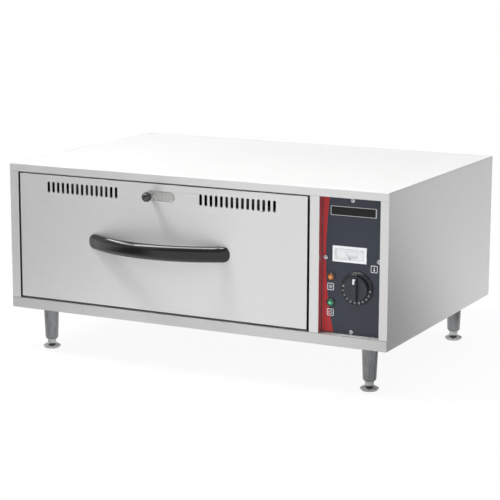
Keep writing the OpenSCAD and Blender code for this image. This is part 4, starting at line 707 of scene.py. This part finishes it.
def hoop(outer, inner, y):
    """A flat ring between two outlines: four loops, round its outside, front, inside and back."""
    return surface(np.stack([standing(outer, y), standing(outer, y - INK), standing(inner, y - INK),
                             standing(inner, y)]), looped=True)


def ribbon(path, width, y):
    """A strip of ink along a line: four corners at each point, half the width to either side."""
    path = np.asarray(path, float)
    step = np.gradient(path, axis=0)
    side = np.stack([-step[:, 1], step[:, 0]], -1) * width / 2 / np.linalg.norm(step, axis=1, keepdims=True)
    return capped(np.stack([standing(path + side, y), standing(path + side, y - INK),
                            standing(path - side, y - INK), standing(path - side, y)], 1))


def tile(outline, y):
    """A filled outline: its middle, its edge behind, its edge in front, and its middle again."""
    middle = np.broadcast_to(outline.mean(0), outline.shape)
    return surface(np.stack([standing(middle, y), standing(outline, y), standing(outline, y - INK),
                             standing(middle, y - INK)]))


def circle(middle, r, steps=24):
    """Points round a circle."""
    angle = np.linspace(0, tau, steps, endpoint=False)
    return np.stack([np.cos(angle), np.sin(angle)], -1) * r + middle


print("a mark of ink stands", INK, "mm proud")

# %% [markdown]
# The panel's film carries a red band at its left, whose right side is a shallow curve, narrowest a
# little above the middle. Three small signs say what the lamps and the meter are for: heat waves, a
# switch ring and a thermometer, each in a square with rounded corners.

# %% The band, the three signs and the nameplate's border
FILM_Y = 13.7             # the film's face
SIGN_Y = FILM_Y - INK     # the red band's face, on which the signs lie
BAND_X, BAND_Z, BAND_STEPS = 614.4, (20.9, 248.1), 60
NARROW_Z, NARROW_X = 148, 620.2
CURVE_BELOW, CURVE_ABOVE = 0.00091, 0.00058            # how fast it widens with the square of the distance
height = np.linspace(*BAND_Z, BAND_STEPS)
right = NARROW_X + np.where(height < NARROW_Z, CURVE_BELOW, CURVE_ABOVE) * (height - NARROW_Z) ** 2
left = np.full(BAND_STEPS, BAND_X)
band = np.stack([np.stack([left, height], -1), np.stack([right, height], -1)], 1)
corners = np.concatenate([standing(band, FILM_Y), standing(band[:, ::-1], SIGN_Y)], 1)
build("red_band", [capped(corners)], red_ink, "cabinet", crease=30)


def sign_frame(middle):
    """A square outline with rounded corners, 12 mm wide and one thick."""
    return hoop(rounded_box(6, 6, 1.6) + middle, rounded_box(4.9, 4.9, 0.8) + middle, SIGN_Y)


HEAT, POWER, PROBE = np.array([629.1, 97.6]), np.array([629.1, 54.0]), np.array([706.9, 133.8])
rise = np.linspace(-3, 3, 25)
waves = [ribbon(np.stack([x + 0.55 * np.sin(rise * tau / 4), rise], -1) + HEAT, 0.8, SIGN_Y)
         for x in (-2.4, 0, 2.4)]
opening = np.linspace(0.1, 0.9, 33) * tau
switch = [ribbon(np.stack([np.sin(opening), np.cos(opening)], -1) * 2.9 + POWER, 0.9, SIGN_Y),
          ribbon(POWER + [[0, 0.4], [0, 2], [0, 3.6]], 0.9, SIGN_Y)]
bulb = [tile(circle(PROBE + [0, -2.2], 1.5), SIGN_Y),
        ribbon(PROBE + [[0, -1.5], [0, 1], [0, 3.6]], 1.3, SIGN_Y)]
build("panel_signs", [sign_frame(HEAT), sign_frame(POWER), sign_frame(PROBE), *waves, *switch, *bulb],
      white_ink, "cabinet", crease=30)

PLATE = np.array([669.25, 226.3])
PLATE_Y = 12.9            # the plate's face
border = hoop(rounded_box(41, 7.8, 0.6) + PLATE, rounded_box(39.6, 6.9, 0.4) + PLATE - [0.4, 0], PLATE_Y)
build("nameplate_border", [border], grey_ink, "cabinet", crease=30)

# %% [markdown]
# The dial ring carries the temperatures in steps of five, each reading outwards from the middle, and
# two short marks where the knob is off. Blender's own typeface serves: a text becomes a mesh before
# it is put in its place.

# %% Numbers and marks on the dial ring, and the knob's pointer
RING_Y = 9.7
NUMBERS = {30 + 5 * i: 97 + 18 * i for i in range(11)}     # temperature: turn from the top in degrees


def around_dial(degrees, r):
    """A point at a distance from the dial's middle, turned clockwise from the top."""
    turn = np.radians(degrees)
    return np.stack([np.sin(turn), np.cos(turn)], -1) * r + DIAL


def lettered(name, words, size, y, material, body):
    """Texts centred on their places, turned, made meshes, joined and stood upright facing the front."""
    work = bmesh.new()
    for word, (x, z), degrees in words:
        text = bpy.data.curves.new(name, "FONT")
        text.body, text.size, text.extrude = str(word), size, INK / 2
        text.align_x, text.align_y = "CENTER", "CENTER"
        flat = bpy.data.meshes.new_from_object(bpy.data.objects.new(name, text))
        turned_up = Matrix.Rotation(radians(90), 4, "X") @ Matrix.Rotation(radians(degrees), 4, "Z")
        flat.transform(Matrix.Translation(place([x, y - INK / 2, z])) @ turned_up @ Matrix.Scale(0.001, 4))
        work.from_mesh(flat)
    bmesh.ops.remove_doubles(work, verts=work.verts, dist=SAME / 10)
    mesh = bpy.data.meshes.new(name)
    work.to_mesh(mesh)
    work.free()
    return show(name, mesh, material, body, (), 30)


lettered("dial_numbers", [(word, around_dial(turn, 24.0), 90 - turn) for word, turn in NUMBERS.items()],
         3.9, RING_Y, white_ink, "cabinet")
off_marks = [ribbon([around_dial(turn, r) for r in (22.6, 23.8, 25.0)], 0.9, RING_Y) for turn in (345, 356)]
build("dial_off_marks", off_marks, grey_ink, "cabinet", crease=30)
bar = np.array([[-2.3, 9.3], [1.1, 9.3], [1.1, 18.3], [-2.3, 18.3]]) + DIAL
wing = np.array([[1.1, 15.9], [2.9, 16.9], [2.9, 18.3], [1.1, 18.3]]) + DIAL
build("knob_pointer", [tile(bar, RIDGE_TOP), tile(wing, RIDGE_TOP)], white_ink, "thermostat_dial", crease=30)

# %% [markdown]
# ## Thermometer
# Behind its lens the thermometer's face has a thin frame, a row of numbers, and below them a comb of
# short lines that stands on a base line.

# %% Marks on the thermometer's face
FACE_Y = 13.9
FACE = np.array([663.35, 154.6])
COMB_X, COMB_Z = np.linspace(-3.6, 13.2, 10), np.array([-5.6, -3.6, -1.2])
face_marks = [hoop(rounded_box(25.2, 8.3, 0.6) + FACE, rounded_box(24.8, 7.9, 0.3) + FACE, FACE_Y)]
face_marks += [ribbon(np.stack([np.full(3, x), COMB_Z], -1) + FACE, 0.9, FACE_Y) for x in COMB_X]
face_marks += [ribbon(np.array([[-11.5, -5.8], [1, -5.8], [13.6, -5.8]]) + FACE, 0.8, FACE_Y)]
face_marks += [tile(circle(FACE + [21.4, 5.6], 0.8), FACE_Y)]
build("thermometer_scale", face_marks, scale_ink, "cabinet", crease=30)
lettered("thermometer_numbers", [(20 + 20 * i, FACE + [-9.5 + 5.4 * i, 4.4], 0) for i in range(5)],
         3.2, FACE_Y, scale_ink, "cabinet")

# %% [markdown]
# ## Lamps
# Each lamp has a moulded lens with rings inside that spread its light. Unlit, the lens is deep in
# colour at its edge; towards the middle a painted glow stands for the room's light that it gathers.

# %% Ringed lenses, with a painted glow towards the middle
LENS_R, LENS_FOOT, LENS_SEAT, LENS_RISE = 6.1, 12.9, 12.1, 3.4
DOME_POWER = 2.4                  # over 2, so that the dome is flatter in the middle than a bowl
BETWEEN_AT, RIM_AT = 0.45, 0.95   # where on the way out from the bright spot two of the tints are full
RINGS, RING_DEPTH, SPOT_DROP = 4, 0.18, 1.2
# The middle colour of each lamp is painted light: a glow for the room's light that the lens gathers.
TINTS = {                         # height of each lamp, and its colours at the rim, between and in the middle
    "amber": (114.9, "#5c2506", "#d07a26", "#f6b870"),
    "green": (71.4, "#083526", "#27a070", "#8fe6c0"),
}


def lens_finish(name, edge, body, bright, middle):
    """Coloured plastic whose tint runs from the rim to a painted bright spot a little below the middle,
    painted light for what the lens gathers.
    """
    material, tree = begin(name, {"Roughness": 0.12, "IOR": 1.58, "Coat Weight": 0.4, "Coat Roughness": 0.05})
    where = add(tree, "TexCoord").outputs["Object"]
    spot = place([middle[0], LENS_SEAT, middle[1] - SPOT_DROP])
    flat = add(tree, "VectorMath", {0: where, 1: tuple(spot)}, operation="SUBTRACT").outputs[0]
    onto = add(tree, "VectorMath", {0: flat, 1: (1, 0, 1)}, operation="MULTIPLY").outputs[0]
    out = add(tree, "VectorMath", {0: onto}, operation="LENGTH").outputs["Value"]
    share = add(tree, "MapRange", {"Value": out, "From Min": 0.0, "From Max": LENS_R / 1000})
    ramp = add(tree, "ValToRGB", {"Fac": share.outputs[0]})
    ramp.color_ramp.elements[0].color = colour(bright)
    ramp.color_ramp.elements[1].color = colour(edge)
    ramp.color_ramp.elements[1].position = RIM_AT
    ramp.color_ramp.elements.new(BETWEEN_AT).color = colour(body)
    tree.links.new(ramp.outputs[0], tree.nodes["Principled BSDF"].inputs["Base Color"])
    return material


r = np.linspace(LENS_R, 0, 44)
dome = LENS_SEAT - LENS_RISE * (1 - (r / LENS_R) ** DOME_POWER)
dome = dome + RING_DEPTH / 2 * (1 - np.cos(r / LENS_R * RINGS * tau))
lens = np.vstack([[(0, LENS_FOOT), (LENS_R, LENS_FOOT)], np.stack([r, dome], -1)])
LAMP_X = 629.95
for name, (z, *tints) in TINTS.items():
    glassy = lens_finish(name + "_polycarbonate_painted_glow", *tints, (LAMP_X, z))
    build(name + "_lamp_lens", [turned(lens, (LAMP_X, 0, z), "y")], glassy, "cabinet", [name + "_lens"])

# %% [markdown]
# ## Screws
# The panel's screws have domed heads with a cross-shaped recess. On rings of points round each
# screw's axis the recess is a drop in height: deep where a point is close to either arm of the cross.

# %% Cross-recessed pan heads
HEAD_R, HEAD_TOP, HEAD_SEAT, SHANK_R, SHANK_END = 3.8, 11.3, 13.7, 1.9, 21.0
CROWN, CROWN_SHARE = 1.5, 0.98    # how far the head's edge falls back, and the share of a quarter circle used
RECESS, ARM_HALF, ARM_SIDE, ARM_REACH, ARM_END = 1.0, 0.85, 0.35, 2.4, 0.6
SCREWS = [(667.75, 245), (667.75, 24), (620, 146.4), (715.5, 146.4)]
ring = np.linspace(0, HEAD_R, 26)[:, None]
angle = np.linspace(0, tau, 56, endpoint=False)
crown = HEAD_TOP + CROWN * (1 - np.sqrt(1 - (ring / HEAD_R * CROWN_SHARE) ** 2)) + 0 * angle
arm = np.minimum(np.abs(ring * np.cos(angle)), np.abs(ring * np.sin(angle)))
recess = RECESS * smooth_step((ARM_HALF - arm) / ARM_SIDE) * smooth_step((ARM_REACH - ring) / ARM_END)
head = np.stack([ring * np.cos(angle), crown + recess, ring * np.sin(angle)], -1)
below = np.array([(HEAD_R, HEAD_SEAT), (SHANK_R, HEAD_SEAT), (SHANK_R, SHANK_END), (0, SHANK_END)])
below = below[:, :, None]
shank = np.stack([below[:, 0] * np.cos(angle), below[:, 1] + 0 * angle, below[:, 0] * np.sin(angle)], -1)
build("panel_screw_heads", [surface(np.concatenate([head, shank]) + [x, 0, z]) for x, z in SCREWS],
      zinc_plate, "cabinet", ["panel_screws"])

# %% [markdown]
# ## Food pan
# The pan is pressed from one sheet: a flat rim, walls that lean in so that pans stack, a small ledge
# under the rim and a soft bend into the floor. Its outline is a rounded rectangle at every height,
# so it takes only the inset and the height along a line from the floor out to the rim and back.

# %% The pressed pan
PAN_MIDDLE, PAN_HALF = (307, 210), (263.5, 162)
outside = softened([(60, 56), (25, 56), (14, 178), (12, 184), (11, 204.5), (0.4, 204.5)],
                   [0, 12, 1.5, 1.5, 1.5, 0])
inside = softened([(0.4, 206), (11, 206), (12.8, 184.4), (14.8, 178.4), (25.8, 56.8), (60, 56.8)],
                  [0, 3, 1.5, 1.5, 11.2, 0])
line = np.vstack([outside, [(0, 205.25)], inside])
corner_r = np.interp(line[:, 0], [0, 11, 25, 35, 60], [41, 30, 30, 20, 12])
loops = rounded_box(PAN_HALF[0] - line[:, 0], PAN_HALF[1] - line[:, 0], corner_r[:, None], 10)
walls = np.concatenate([loops + PAN_MIDDLE, np.broadcast_to(line[:, 1:2, None], (*loops.shape[:2], 1))], -1)
floor_ends = [np.broadcast_to([*PAN_MIDDLE, z], (1, loops.shape[1], 3)) for z in (56, 56.8)]
build("pressed_food_pan", [surface(np.concatenate([floor_ends[0], walls, floor_ends[1]]))],
      pressed_steel, "drawer", ["food_pan"])

# %% [markdown]
# ## Marks of the welds
# Spot welds hold the bottom rail to the floor sheet inside, and each leaves a dull tinted disc on the
# face that the brushing didn't quite take away. They are drawn as thin discs of heat-tinted steel.

# %% Four spot welds on the bottom rail
# The weld's heat leaves a straw tint, so faint that it only dulls the disc.
tinted = finish("heat_tinted_steel", "#cfcdc9", "#dad8d4", (0.34, 0.4), 0.8, Metallic=1.0)
WELD_X, WELD_Z, WELD_R = (151, 287, 418, 606), 8.5, 2.4
build("spot_weld_marks", [tile(circle([x, WELD_Z], WELD_R), 0) for x in WELD_X], tinted, "cabinet", crease=30)

# %% [markdown]
# ## Mineral wool
# Pressed wool fills the space between the sheets. A board is cut with soft corners, and its faces
# wander by a part of a millimetre, always inwards, so that it stays in the room it has.

# %% Boards and a folded mat of wool
WAVE = 0.35               # how far in the faces wander, in millimetres
WAVE_X, WAVE_Z = 7, 6     # millimetres for each radian of the two waves
WAVE_SLANT = 9            # radians by which one of them moves on from the front of a board to its back


def wool_board(x, y, z, corner=2.5, steps=40):
    """Rounded rectangles from front to back, smaller at both ends, their faces drawn in by crossed waves."""
    t = np.linspace(0, 1, steps)
    depth = y[1] - y[0]
    inset = min(corner, depth / 2)
    from_end = np.minimum(t, 1 - t) * depth
    drawn = inset - np.sqrt(np.maximum(inset ** 2 - np.maximum(inset - from_end, 0) ** 2, 0))
    half = np.array([x[1] - x[0], z[1] - z[0]]) / 2
    loops = rounded_box(half[0] - drawn, half[1] - drawn, min(corner, half.min() * 0.9), 16)
    slanted = np.sin(loops[..., 1] / WAVE_Z + t[:, None] * WAVE_SLANT)
    wave = WAVE * (2 + np.sin(loops[..., 0] / WAVE_X) + slanted) / 4
    loops = loops * (1 - wave[..., None] / np.maximum(np.abs(loops).max(-1, keepdims=True), 1))
    middle = np.array([sum(x), sum(z)]) / 2
    back = np.broadcast_to((y[0] + t * depth)[:, None], loops.shape[:2])
    points = np.stack([loops[..., 0] + middle[0], back, loops[..., 1] + middle[1]], -1)
    return capped(points)


def wool_piece(name, boards, body, node):
    """Boards as one padded piece, pressed nearly tight, that stands for a wool part of the frame."""
    build(name, [wool_board(*board) for board in boards], wool, body, [node])


# Each board is given by where it starts and ends in x, y and z.
TOP_Z, WALL_Z = (251.5, 262.3), (12.5, 251.3)
wool_piece("wool_mat", [((3.2, 611.8), (1.7, 478), TOP_Z), ((3.2, 16.5), (1.7, 478), WALL_Z),
                        ((597.5, 611.8), (1.7, 478), WALL_Z)], "cabinet", "insulation_wrap")
wool_piece("wool_boards", [((3.2, 611.8), (1.7, 478), (2.9, 11.9)), ((17.1, 596.9), (1.7, 478), (12.0, 16.5)),
                           ((3.2, 611.8), (480, 499), (2.9, 262.3))], "cabinet", "insulation_boards")
wool_piece("drawer_wool", [((23.7, 590.3), (1.7, 28.3), (24.2, 208))], "drawer", "drawer_insulation")
